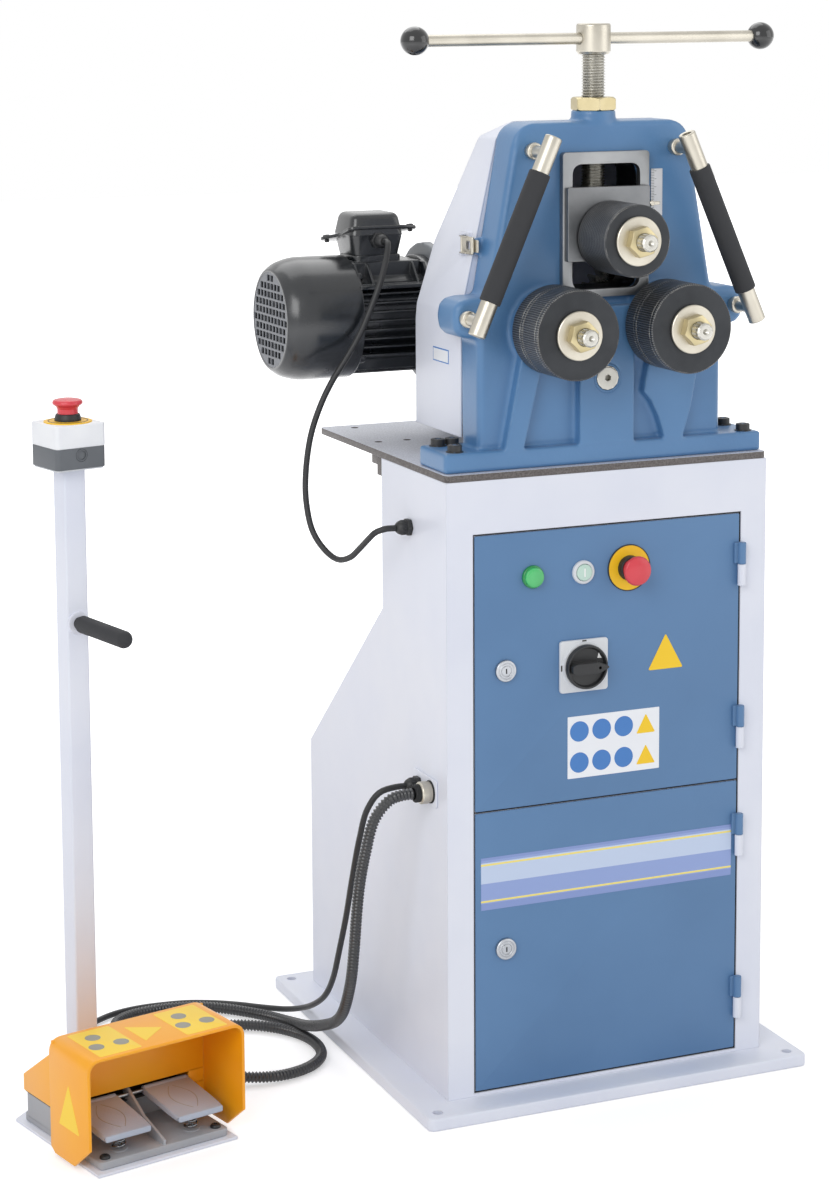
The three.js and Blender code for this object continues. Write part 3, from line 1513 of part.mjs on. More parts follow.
// Routes of the three cords, as points in the machine's frame. They start and end at their glands.
const routes = {
  motor: [
    [motorGlandAt[0], motorGlandTip - fit.seat, motorGlandAt[1]],
    [motorGlandAt[0], motorGlandTip - lead.cable, motorGlandAt[1]],
    [motorGlandAt[0] - lead.across, motorGlandTip - lead.second, motorGlandAt[1] - lead.drop],
    [-206, 252, 1032],
    [-222, 250, 995],
    [-238, 250, 962],
    [-256, 250, 934],
    [-276, 250, 905],
    [-292, 250, 875],
    [-306, 250, 836],
    [-314, 249, 784],
    [-315, 244, 748],
    [-311, 233, 714],
    [-301, 217, 692],
    [-291, 199, 682],
    [-283, 175, 688],
    [-278, 152, 704],
    [-274, 131, 720],
    [-270, 118, 730],
    [wallGlandTip - lead.wall, wallGlandAt[0], wallGlandAt[1]],
    [wallGlandTip - fit.seat, wallGlandAt[0], wallGlandAt[1]],
  ],
  hose: [
    [hoseGlandTip - fit.seat, hoseGlandAt[0], hoseGlandAt[1]],
    [hoseGlandTip - lead.hose, hoseGlandAt[0], hoseGlandAt[1]],
    [-283, 46, 403],
    [-302, 50, 380],
    [-312, 57, 336],
    [-316, 67, 294],
    [-318, 74, 250],
    [-318, 83, 204],
    [-318, 96, 155],
    [-316, 125, 108],
    [-311, 165, 78],
    [-305, 230, 48],
    [-304, 290, 26],
    [-309, 345, 13],
    [-325, 386, 9],
    [-347, 415, 8.5],
    [-372, 440, 8.5],
    [-400, 460, 8.5],
    [-432, 471, 8.5],
    [-467, 473, 8.5],
    [-500, 467, 8.5],
    [-525, 447, 8.5],
    [-529, 420, 8.5],
    [-508, 400, 8.5],
    [-470, 392, 8.5],
    [-430, 388, 8.5],
    [-390, 380, 8.5],
    [-355, 363, 8.5],
    [-325, 336, 8.5],
    [-306, 300, 8.5],
    [-301, 262, 8.5],
    [-310, 225, 8.5],
    [-334, 198, 8.5],
    [-368, 184, 8.5],
    [-404, 182, 10],
    fromConsole(baseRight + baseGland.long + lead.far, baseGland.y, lead.farHigh),
    fromConsole(baseRight + baseGland.long + lead.inlet, baseGland.y, baseGland.z),
    fromConsole(baseRight + baseGland.long + fit.seat, baseGland.y, baseGland.z),
  ],
  stop: [
    [wallX - cableGland.long - fit.seat, cableGland.y, floorTop + cableGland.z],
    [wallX - cableGland.long - lead.cable, cableGland.y, floorTop + cableGland.z],
    [-281, 85, 402],
    [-295, 92, 380],
    [-301, 104, 340],
    [-302, 128, 280],
    [-300, 156, 220],
    [-298, 186, 165],
    [-294, 218, 118],
    [-289, 258, 80],
    [-284, 310, 48],
    [-285, 360, 24],
    [-296, 400, 10],
    [-318, 430, 5.5],
    [-346, 454, 5.5],
    [-376, 474, 5.5],
    [-409, 489, 5.5],
    [-440, 495, 5.5],
    [-475, 497, 5.5],
    [-510, 491, 5.5],
    [-540, 476, 5.5],
    [-572, 450, 5.5],
    [-605, 410, 5.5],
    [-630, 362, 6],
    [-645, 318, 10],
    fromConsole(post.x, postBack + postGland.long + lead.post, lead.postHigh),
    fromConsole(post.x, postBack + postGland.long + lead.cable, postGland.z),
    fromConsole(post.x, postBack + postGland.long + fit.seat, postGland.z),
  ],
};

const curveOf = (route) => new THREE.CatmullRomCurve3(route.map((p) => new THREE.Vector3(...p)), false, "centripetal");

function plainCable(route, radius) {
  const curve = curveOf(route);
  const steps = Math.min(counts.cableSteps, Math.round(curve.getLength() / (radius * 2 * cable.stepDiameters)));
  return solid(sweep(curve, radius, counts.cableSides, steps));
}

// Ribbed conduit with its bore: two rings for each rib, and a bore ring every few ribs.
function ribbedHose(route) {
  const curve = curveOf(route);
  const count = counts.hoseRibs * 2;
  const frames = curve.computeFrenetFrames(count, false);
  const vertices = [];
  const faces = [];
  const ring = (i, radius) => {
    const centre = curve.getPointAt(i / count);
    const first = vertices.length / 3;
    for (let k = 0; k < counts.hoseSides; k++) {
      const angle = (k * 2 * Math.PI) / counts.hoseSides;
      const point = centre
        .clone()
        .addScaledVector(frames.normals[i], radius * Math.cos(angle))
        .addScaledVector(frames.binormals[i], radius * Math.sin(angle));
      vertices.push(point.x, point.y, point.z);
    }
    return first;
  };
  const bridge = (a, b) => {
    for (let k = 0; k < counts.hoseSides; k++) {
      const next = (k + 1) % counts.hoseSides;
      faces.push(a + k, a + next, b + k, a + next, b + next, b + k);
    }
  };
  const outer = [];
  for (let i = 0; i <= count; i++) outer.push(ring(i, i % 2 ? hose.radius : hose.valley));
  const bore = [];
  for (let i = 0; i < count; i += 2 * counts.hoseBoreEvery) bore.push(ring(i, hose.bore));
  bore.push(ring(count, hose.bore));
  outer.slice(1).forEach((b, i) => bridge(outer[i], b));
  bore.slice(1).forEach((b, i) => bridge(b, bore[i]));
  bridge(bore[0], outer[0]);
  bridge(outer.at(-1), bore.at(-1));
  const made = new THREE.BufferGeometry();
  made.setAttribute("position", new THREE.BufferAttribute(new Float32Array(vertices), 3));
  made.setIndex(faces);
  return solid(made);
}

// The machine's pieces
machine.add(
  piece("base_plate", basePlate(), shade.white, 0.5, 0.3),
  piece("cabinet", cabinetBody(), shade.white, 0.5, 0.3),
  piece("upper_door", upperDoor(), shade.blue, 0.45, 0.3),
  piece("lower_door", lowerDoor(), shade.blue, 0.45, 0.3),
  piece("upper_lock", doorLock(lockAt.upper), shade.chrome, 0.3, 0.9),
  piece("lower_lock", doorLock(lockAt.lower), shade.chrome, 0.3, 0.9),
  piece("pilot_lamp", pilotLamp(), shade.green, 0.25, 0),
  piece("start_button", startButton(), shade.pale, 0.4, 0),
  piece("estop_collar", stopCollar(), shade.signal, 0.5, 0),
  piece("estop_mushroom", stopMushroom(), shade.red, 0.35, 0),
  piece("switch_plate", switchPlate(), shade.white, 0.45, 0),
  piece("switch_knob", switchKnob(), shade.black, 0.4, 0),
  piece("machine_plate", deckPlate(), shade.plateSteel, 0.5, 0.8),
  piece("head_casting", headCasting(), shade.blue, 0.5, 0.3),
  piece("guide_plate", guidePlate(), shade.steel, 0.4, 0.9),
  piece("slide_block", slideBlock(), shade.steel, 0.4, 0.9),
  piece("pressure_screw", pressureScrew(), shade.steel, 0.35, 0.9),
  piece("screw_nut", screwNut(), shade.steel, 0.35, 0.9),
  piece("cross_bar", crossBar(), shade.zinc, 0.3, 0.9),
  piece("left_ball_knob", ballKnob(-1), shade.black, 0.25, 0),
  piece("right_ball_knob", ballKnob(1), shade.black, 0.25, 0),
  piece(
    "upper_shaft",
    rollerShaft(0, upperZ, slideFront, upperBack, upperFront, slideBack + axle.highShoulder),
    shade.steel,
    0.35,
    0.9,
  ),
  piece(
    "upper_roller",
    rollerRing(0, upperZ, upper.radius, upperFront, upperBack),
    shade.black,
    0.4,
    0.7,
  ),
  piece("upper_clamp_nut", clampNut(0, upperZ, upperFront), shade.zinc, 0.35, 0.9),
  piece("left_shaft", drivenShaft(-1), shade.steel, 0.35, 0.9),
  piece("right_shaft", drivenShaft(1), shade.steel, 0.35, 0.9),
  piece("left_roller_rear", rearRing(-1), shade.black, 0.4, 0.7),
  piece("right_roller_rear", rearRing(1), shade.black, 0.4, 0.7),
  piece("left_roller_front", frontRing(-1), shade.black, 0.4, 0.7),
  piece("right_roller_front", frontRing(1), shade.black, 0.4, 0.7),
  piece("left_clamp_nut", clampNut(-lower.x, lowerZ, lowerFront), shade.zinc, 0.35, 0.9),
  piece("right_clamp_nut", clampNut(lower.x, lowerZ, lowerFront), shade.zinc, 0.35, 0.9),
  piece("pinion_shaft", pinionShaft(), shade.steel, 0.35, 0.9),
  piece("left_grab_bar", grabBar(-1), shade.chrome, 0.3, 0.9),
  piece("right_grab_bar", grabBar(1), shade.chrome, 0.3, 0.9),
  piece("left_grip", grabGrip(-1), shade.rubber, 0.8, 0),
  piece("right_grip", grabGrip(1), shade.rubber, 0.8, 0),
  piece("rear_cover", rearCover(), shade.white, 0.5, 0.3),
  piece("left_latch", latchLever(-1), shade.chrome, 0.3, 0.9),
  piece("right_latch", latchLever(1), shade.chrome, 0.3, 0.9),
  piece("gearbox", gearboxSolid(), shade.drive, 0.55, 0.4),
  piece("motor_body", motorBody(), shade.black, 0.35, 0.2),
  piece("fan_cowl", fanCowl(), shade.black, 0.3, 0.3),
  piece("terminal_box", terminalBox(), shade.black, 0.35, 0.2),
  piece(
    "motor_cable_gland",
    glandSolid("x", wallX - fit.seat, wallGlandTip, wallGlandAt),
    shade.black,
    0.5,
    0,
  ),
  piece(
    "conduit_gland",
    cableEntry(),
    shade.chrome,
    0.35,
    0.9,
  ),
  piece("motor_cable", plainCable(routes.motor, cable.motor), shade.black, 0.55, 0),
  piece("foot_conduit", ribbedHose(routes.hose), shade.black, 0.6, 0),
  piece("estop_cable", plainCable(routes.stop, cable.radius), shade.black, 0.55, 0),
);

// The foot console's pieces
footConsole.add(
  piece("console_plate", consolePlate(), shade.white, 0.5, 0.3),
  piece("pedal_base", pedalBaseSolid(), shade.grey, 0.6, 0.5),
  piece("left_pedal", pedalSolid(-1), shade.grey, 0.5, 0.5),
  piece("right_pedal", pedalSolid(1), shade.grey, 0.5, 0.5),
  piece("left_pedal_spring", pedalSpring(-1), shade.steel, 0.4, 0.9),
  piece("right_pedal_spring", pedalSpring(1), shade.steel, 0.4, 0.9),
  piece("pedal_shield", pedalShield(), shade.yellow, 0.45, 0),
  piece("post", postSolid(), shade.white, 0.5, 0.3),
  piece("post_grip", gripSolid(), shade.rubber, 0.7, 0),
  piece("post_box", postBoxSolid(), shade.white, 0.5, 0),
  piece("post_estop", postMushroom(), shade.red, 0.35, 0),
);

const ringRoller = new THREE.Group();
ringRoller.name = "ring_roller";
ringRoller.add(machine, footConsole);

export default ringRoller;
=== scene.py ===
# Ring roller on its cabinet, with foot console and stop post: worked surfaces, fittings and finishes over
# its solids. Metres, +Z up, doors facing -Y. Sizes in the calls below are millimetres of the machine's or
# the console's own frame.
import math

import bpy
from mathutils import Matrix, Vector


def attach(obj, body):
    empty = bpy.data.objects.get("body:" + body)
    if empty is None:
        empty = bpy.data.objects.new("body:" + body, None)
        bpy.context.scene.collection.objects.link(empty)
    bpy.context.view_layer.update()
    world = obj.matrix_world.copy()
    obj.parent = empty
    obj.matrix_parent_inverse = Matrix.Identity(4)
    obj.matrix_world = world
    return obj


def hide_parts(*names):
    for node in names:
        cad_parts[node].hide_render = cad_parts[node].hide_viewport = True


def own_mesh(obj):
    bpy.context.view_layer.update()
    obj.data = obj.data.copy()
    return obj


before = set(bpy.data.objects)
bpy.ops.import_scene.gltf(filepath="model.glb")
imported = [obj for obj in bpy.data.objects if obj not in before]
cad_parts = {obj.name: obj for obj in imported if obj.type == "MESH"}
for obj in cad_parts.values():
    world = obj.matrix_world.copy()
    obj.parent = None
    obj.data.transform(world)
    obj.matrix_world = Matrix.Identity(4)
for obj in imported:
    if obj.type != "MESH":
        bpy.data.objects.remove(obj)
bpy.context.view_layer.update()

MM = 0.001
SETBACK = 233  # the machine frame's y counts from the cabinet's front face
CONSOLE = Matrix.Translation((-0.6864, -0.2434, 0)) @ Matrix.Rotation(math.radians(12.6), 4, "Z")
AXES = {"x": Vector((1, 0, 0)), "y": Vector((0, 1, 0)), "z": Vector((0, 0, 1))}
SCREW_Y = 50.5  # the pressure screw's axis
LOWER_Z, UPPER_Z, ROLLER_X = 990, 1102, 78  # heights of the roller axes, and how far out the lower ones lie
PINION = (0, 924.3)
MOTOR_Y, MOTOR_Z = 345, 978
PEDALS = {"left": 47, "right": 149}
HINGE = (96, 51)  # the pedals' common hinge
SPRING_V = 34  # how far back in the console the springs stand
POST = (102, 222)


def place(x, y, z):
    """A point of the machine's frame, in metres."""
    return Vector((x, y - SETBACK, z)) * MM


def own(x, y, z):
    """A point of the console's own frame, in metres, before the console is stood in its place."""
    return Vector((x, y, z)) * MM


# Camera


def make_camera():
    yaw, pitch, roll = math.radians(23.03), math.radians(7.997), math.radians(-0.314)
    ahead = Vector((math.sin(yaw) * math.cos(pitch), math.cos(yaw) * math.cos(pitch), -math.sin(pitch)))
    level = Vector((math.cos(yaw), -math.sin(yaw), 0))
    upward = Vector((math.sin(yaw) * math.sin(pitch), math.cos(yaw) * math.sin(pitch), math.cos(pitch)))
    side = level * math.cos(roll) + upward * math.sin(roll)
    top = upward * math.cos(roll) - level * math.sin(roll)
    lens = bpy.data.cameras.new("Camera")
    lens.sensor_fit, lens.sensor_width, lens.lens = "AUTO", 36, 83.36
    lens.shift_y = -0.1835
    lens.clip_start, lens.clip_end = 0.05, 100
    camera = bpy.data.objects.new("Camera", lens)
    bpy.context.scene.collection.objects.link(camera)
    turn = Matrix((side, top, -ahead)).transposed().to_4x4()
    camera.matrix_world = Matrix.Translation((-1.5698, -3.3001, 1.4070)) @ turn
    bpy.context.scene.camera = camera


make_camera()


# Shader groups


def linear(code):
    """A hexadecimal shade as linear colour."""
    parts = [int(code[i : i + 2], 16) / 255 for i in (0, 2, 4)]
    return [c / 12.92 if c <= 0.04045 else ((c + 0.055) / 1.055) ** 2.4 for c in parts] + [1.0]


class Graph:
    """A node tree, with short ways to add nodes and to join them."""

    def __init__(self, tree):
        self.tree = tree

    def feed(self, socket, value):
        """Joins an output to the socket, or sets the socket to a plain value."""
        if isinstance(value, bpy.types.NodeSocket):
            self.tree.links.new(value, socket)
        else:
            socket.default_value = value

    def add(self, kind, inputs=None, **settings):
        made = self.tree.nodes.new("ShaderNode" + kind)
        for key, value in settings.items():
            setattr(made, key, value)
        for key, value in (inputs or {}).items():
            self.feed(made.inputs[key], value)
        return made

    def coords(self):
        return self.add("TexCoord").outputs["Object"]

    def parts(self, vector):
        return self.add("SeparateXYZ", {0: vector}).outputs

    def maths(self, operation, *values):
        return self.add("Math", dict(enumerate(values)), operation=operation).outputs[0]

    def product(self, first, *others):
        for other in others:
            first = self.maths("MULTIPLY", first, other)
        return first

    def noise(self, vector, scale, detail=3.0):
        return self.add("TexNoise", {"Vector": vector, "Scale": scale, "Detail": detail}).outputs["Fac"]

    def spread(self, value, low, high, to_low=0.0, to_high=1.0):
        limits = {"From Min": low, "From Max": high, "To Min": to_low, "To Max": to_high}
        return self.add("MapRange", {"Value": value, **limits}).outputs["Result"]

    def blend(self, mask, first, second):
        return self.add("Mix", {"Factor": mask, "A": first, "B": second},
                        data_type="RGBA").outputs["Result"]

    def seen(self):
        """1 for a ray from the camera, off a glossy surface or through a clear one."""
        rays = self.add("LightPath").outputs
        bounced = self.maths("MAXIMUM", rays["Is Glossy Ray"], rays["Is Transmission Ray"])
        return self.maths("MAXIMUM", rays["Is Camera Ray"], bounced)

    def use(self, name, **values):
        """The outputs of a shader group, with its inputs set."""
        inputs = {label.replace("_", " "): value for label, value in values.items()}
        return self.add("Group", inputs, node_tree=groups[name]).outputs

    def mottled(self, grain, shade, second):
        return self.blend(self.spread(grain["Broad"], 0.3, 0.7), linear(shade), linear(second))

    def across(self, centre):
        """Where a point lies across an axis along Y through the centre, and how far from it."""
        offset = self.add("VectorMath", {0: self.coords(), 1: centre}, operation="SUBTRACT").outputs[0]
        parts = self.parts(offset)
        squares = [self.maths("POWER", parts[key], 2.0) for key in ("X", "Z")]
        return parts, self.maths("SQRT", self.maths("ADD", *squares))


def new_group(name, inputs, outputs):
    tree = bpy.data.node_groups.new(name, "ShaderNodeTree")
    for label, default in inputs.items():
        kind = "NodeSocketVector" if isinstance(default, tuple) else "NodeSocketFloat"
        tree.interface.new_socket(label, in_out="INPUT", socket_type=kind).default_value = default
    for label, kind in outputs.items():
        tree.interface.new_socket(label, in_out="OUTPUT", socket_type="NodeSocket" + kind)
    return Graph(tree), tree.nodes.new("NodeGroupInput").outputs, tree.nodes.new("NodeGroupOutput").inputs


def grain_group():
    """Broad and fine unevenness of a surface. Stretch draws it out along an axis."""
    inputs = {"Broad Scale": 6.0, "Fine Scale": 400.0, "Stretch": (1, 1, 1)}
    graph, given, out = new_group("Surface Grain", inputs, {"Broad": "Float", "Fine": "Float"})
    spot = graph.coords()
    drawn = graph.add("VectorMath", {0: spot, 1: given["Stretch"]}, operation="MULTIPLY").outputs[0]
    graph.feed(out["Broad"], graph.noise(spot, given["Broad Scale"]))
    graph.feed(out["Fine"], graph.noise(drawn, given["Fine Scale"], 4.0))
    return graph.tree


def edge_group():
    """Rounds the shading over an edge and finds where an edge is rubbed."""
    inputs = {"Radius": 0.002, "Amount": 1.0}
    graph, given, out = new_group("Rubbed Edges", inputs, {"Mask": "Float", "Normal": "Vector"})
    eased = graph.add("Bevel", {"Radius": given["Radius"]}, samples=4).outputs[0]
    flat = graph.add("NewGeometry").outputs["Normal"]
    dot = graph.add("VectorMath", {0: eased, 1: flat}, operation="DOT_PRODUCT").outputs["Value"]
    patches = graph.spread(graph.noise(graph.coords(), 60.0), 0.42, 0.62)
    graph.feed(out["Mask"], graph.product(graph.spread(dot, 0.995, 0.8), patches, given["Amount"]))
    graph.feed(out["Normal"], eased)
    return graph.tree


def dust_group():
    """Fine dust that lies on what faces up."""
    graph, given, out = new_group("Settled Dust", {"Amount": 0.3}, {"Mask": "Float"})
    facing = graph.spread(graph.parts(graph.add("NewGeometry").outputs["Normal"])["Z"], 0.75, 1.0)
    cloud = graph.spread(graph.noise(graph.coords(), 14.0, 6.0), 0.35, 0.75)
    graph.feed(out["Mask"], graph.product(facing, cloud, given["Amount"]))
    return graph.tree


def ring_group():
    """Fine rings that a turning tool leaves about an axis along Y through Centre."""
    graph, given, out = new_group("Turned Rings", {"Centre": (0, 0, 0), "Scale": 900.0}, {"Rings": "Float"})
    inputs = {"W": graph.across(given["Centre"])[1], "Scale": given["Scale"], "Detail": 2.0}
    graph.feed(out["Rings"], graph.add("TexNoise", inputs, noise_dimensions="1D").outputs["Fac"])
    return graph.tree


def knurl_group():
    """Straight knurling round a roller whose axis lies along Y through Centre."""
    inputs = {"Centre": (0, 0, 0), "Teeth": 150.0, "Radius": 0.05}
    graph, given, out = new_group("Straight Knurl", inputs, {"Ridge": "Float"})
    parts, distance = graph.across(given["Centre"])
    angle = graph.maths("ARCTAN2", parts["Z"], parts["X"])
    wave = graph.spread(graph.maths("SINE", graph.product(angle, given["Teeth"])), -1.0, 1.0)
    graph.feed(out["Ridge"], graph.product(wave, graph.maths("GREATER_THAN", distance, given["Radius"])))
    return graph.tree


groups = {
    "grain": grain_group(),
    "edge": edge_group(),
    "dust": dust_group(),
    "rings": ring_group(),
    "knurl": knurl_group(),
}


# Finishes


class Look(Graph):
    """A material and the inputs of its shader."""

    def __init__(self, name, metallic=0.0, coat=0.0, coat_roughness=0.1):
        self.material = bpy.data.materials.new(name)
        self.material.use_nodes = True
        super().__init__(self.material.node_tree)
        self.shader = self.tree.nodes["Principled BSDF"].inputs
        self.shader["Metallic"].default_value = metallic
        self.shader["Coat Weight"].default_value = coat
        self.shader["Coat Roughness"].default_value = coat_roughness

    def dress(self, colour, roughness, height=None, strength=0.0, distance=0.0, normal=None):
        """Feeds the shader, with a bump where a height is given, and gives back the material."""
        self.feed(self.shader["Base Color"], colour)
        self.feed(self.shader["Roughness"], roughness)
        if height is not None:
            inputs = {"Height": height, "Strength": strength, "Distance": distance}
            if normal is not None:
                inputs["Normal"] = normal
            self.feed(self.shader["Normal"], self.add("Bump", inputs).outputs["Normal"])
        return self.material


def painted(name, shade, second, worn, rough, fine=500.0, depth=0.25, coat=0.0, edge=0.0016, wear=0.35,
            dust=0.25):
    """Sprayed or powdered paint: slight mottling, orange peel, rubbed edges and a little dust on top."""
    look = Look(name, coat=coat, coat_roughness=0.2)
    grain = look.use("grain", Broad_Scale=7.0, Fine_Scale=fine)
    edges = look.use("edge", Radius=edge, Amount=wear)
    cover = look.use("dust", Amount=dust)["Mask"]
    rubbed = look.blend(edges["Mask"], look.mottled(grain, shade, second), linear(worn))
    dusted = look.blend(cover, rubbed, linear("d9d8d4"))
    level = look.spread(grain["Broad"], 0.25, 0.75, *rough)
    roughness = look.maths("ADD", level, look.product(cover, 0.3))
    return look.dress(dusted, roughness, grain["Fine"], depth, 0.0004, edges["Normal"])


def metal(name, shade, second, rough, stretch=(1, 1, 1), fine=500.0, depth=0.15):
    """Bare, plated or blackened metal, with tool marks drawn out along an axis and brighter edges."""
    look = Look(name, metallic=1.0)
    grain = look.use("grain", Broad_Scale=18.0, Fine_Scale=fine, Stretch=stretch)
    edges = look.use("edge", Radius=0.0008, Amount=0.5)
    rubbed = look.blend(edges["Mask"], look.mottled(grain, shade, second), linear("d8d6cf"))
    mixed = look.maths("ADD", look.product(grain["Broad"], 0.5), look.product(grain["Fine"], 0.5))
    roughness = look.spread(mixed, 0.3, 0.7, *rough)
    return look.dress(rubbed, roughness, grain["Fine"], depth, 0.0002, edges["Normal"])


def moulded(name, shade, second, rough, fine=900.0, depth=0.12, coat=0.0, dust=0.1):
    """Moulded plastic or rubber with a faint texture."""
    look = Look(name, coat=coat)
    grain = look.use("grain", Broad_Scale=20.0, Fine_Scale=fine)
    normal = look.use("edge", Radius=0.0008, Amount=0.0)["Normal"]
    cover = look.use("dust", Amount=dust)["Mask"]
    dusted = look.blend(cover, look.mottled(grain, shade, second), linear("bdbcb8"))
    roughness = look.spread(grain["Broad"], 0.25, 0.75, *rough)
    return look.dress(dusted, roughness, grain["Fine"], depth, 0.0003, normal)


def roller_finish(name, centre, knurl_radius, teeth):
    """Blackened roller steel: turned rings on its faces, straight knurling round it and bare rims."""
    look = Look(name, metallic=0.7)
    grain = look.use("grain", Broad_Scale=25.0, Fine_Scale=700.0)
    edges = look.use("edge", Radius=0.0012, Amount=3.2)
    rings = look.use("rings", Centre=centre, Scale=2400.0)["Rings"]
    ridge = look.use("knurl", Centre=centre, Teeth=teeth, Radius=knurl_radius)["Ridge"]
    dark = look.mottled(grain, "303235", "3d3f42")
    ridged = look.blend(look.product(ridge, 0.8), dark, linear("7e7f81"))
    rimmed = look.blend(edges["Mask"], ridged, linear("d2d0c9"))
    roughness = look.spread(grain["Broad"], 0.3, 0.7, 0.38, 0.52)
    height = look.maths("ADD", look.product(rings, 0.25), ridge)
    return look.dress(rimmed, roughness, height, 0.8, 0.0007, edges["Normal"])


def ringed_metal(name, shade, second, rough, centre):
    """Metal faced on a lathe, with rings about an axis along Y."""
    look = Look(name, metallic=1.0)
    grain = look.use("grain", Broad_Scale=30.0, Fine_Scale=600.0)
    rings = look.use("rings", Centre=centre, Scale=2600.0)["Rings"]
    roughness = look.spread(rings, 0.3, 0.7, *rough)
    return look.dress(look.mottled(grain, shade, second), roughness, rings, 0.25, 0.0002)


def banner_finish():
    """The lower door's strip: bands of two blues with thin yellow lines, by height."""
    look = Look("Banner Print", coat=0.3)
    up = look.parts(look.coords())["Z"]
    colour = linear("8296cc")
    for low, high, shade in (
        (0.2675, 0.3235, "8fa3d6"), (0.2935, 0.3205, "c2d1ea"), (0.3165, 0.3190, "f3e27c"),
        (0.2690, 0.2715, "f3e27c"),
    ):
        band = look.product(look.maths("GREATER_THAN", up, low), look.maths("LESS_THAN", up, high))
        colour = look.blend(band, colour, linear(shade))
    grain = look.use("grain", Broad_Scale=15.0, Fine_Scale=500.0)
    return look.dress(colour, look.spread(grain["Broad"], 0.3, 0.7, 0.3, 0.42))


def scale_finish():
    """Engraved ruler: pale face with fine black divisions, longer at every fifth."""
    look = Look("Engraved Scale", metallic=0.4)
    parts = look.parts(look.coords())
    marks = []
    for step, reach in ((0.002, 0.0715), (0.010, 0.0745)):
        along = look.maths("MODULO", look.maths("ADD", parts["Z"], 1.0), step)
        line = look.maths("LESS_THAN", along, 0.00045)
        marks.append(look.product(line, look.maths("LESS_THAN", parts["X"], reach)))
    grain = look.use("grain", Broad_Scale=40.0, Fine_Scale=900.0, Stretch=(1, 1, 8))
    face = look.blend(grain["Broad"], linear("c9cbcf"), linear("e2e3e6"))
    marked = look.blend(look.maths("MAXIMUM", *marks), face, linear("303338"))
    return look.dress(marked, look.spread(grain["Fine"], 0.3, 0.7, 0.35, 0.5))


def plate_finish():
    """Rolled plate: ground pale on top, with dark scale left on its edges."""
    look = Look("Machine Plate Steel", metallic=0.25)
    grain = look.use("grain", Broad_Scale=9.0, Fine_Scale=420.0)
    facing_up = look.maths("GREATER_THAN", look.parts(look.add("NewGeometry").outputs["Normal"])["Z"], 0.5)
    top = look.blend(look.spread(grain["Fine"], 0.42, 0.6), linear("c0c3cd"), linear("d6d9e3"))
    scale = look.blend(look.spread(grain["Fine"], 0.35, 0.65), linear("4d4847"), linear("6d6866"))
    roughness = look.spread(grain["Broad"], 0.3, 0.7, 0.45, 0.6)
    return look.dress(look.blend(facing_up, scale, top), roughness, grain["Fine"], 0.3, 0.0003)


def pad_finish(name, shade, ground):
    """A printed patch that shows the paint's own unevenness."""
    return painted(name, shade, ground, shade, (0.35, 0.5), fine=700.0, depth=0.1, edge=0.0003, wear=0.0,
                   dust=0.05)


LOWER_LEFT, LOWER_RIGHT, UPPER = (-0.078, 0, 0.990), (0.078, 0, 0.990), (0, 0, 1.102)
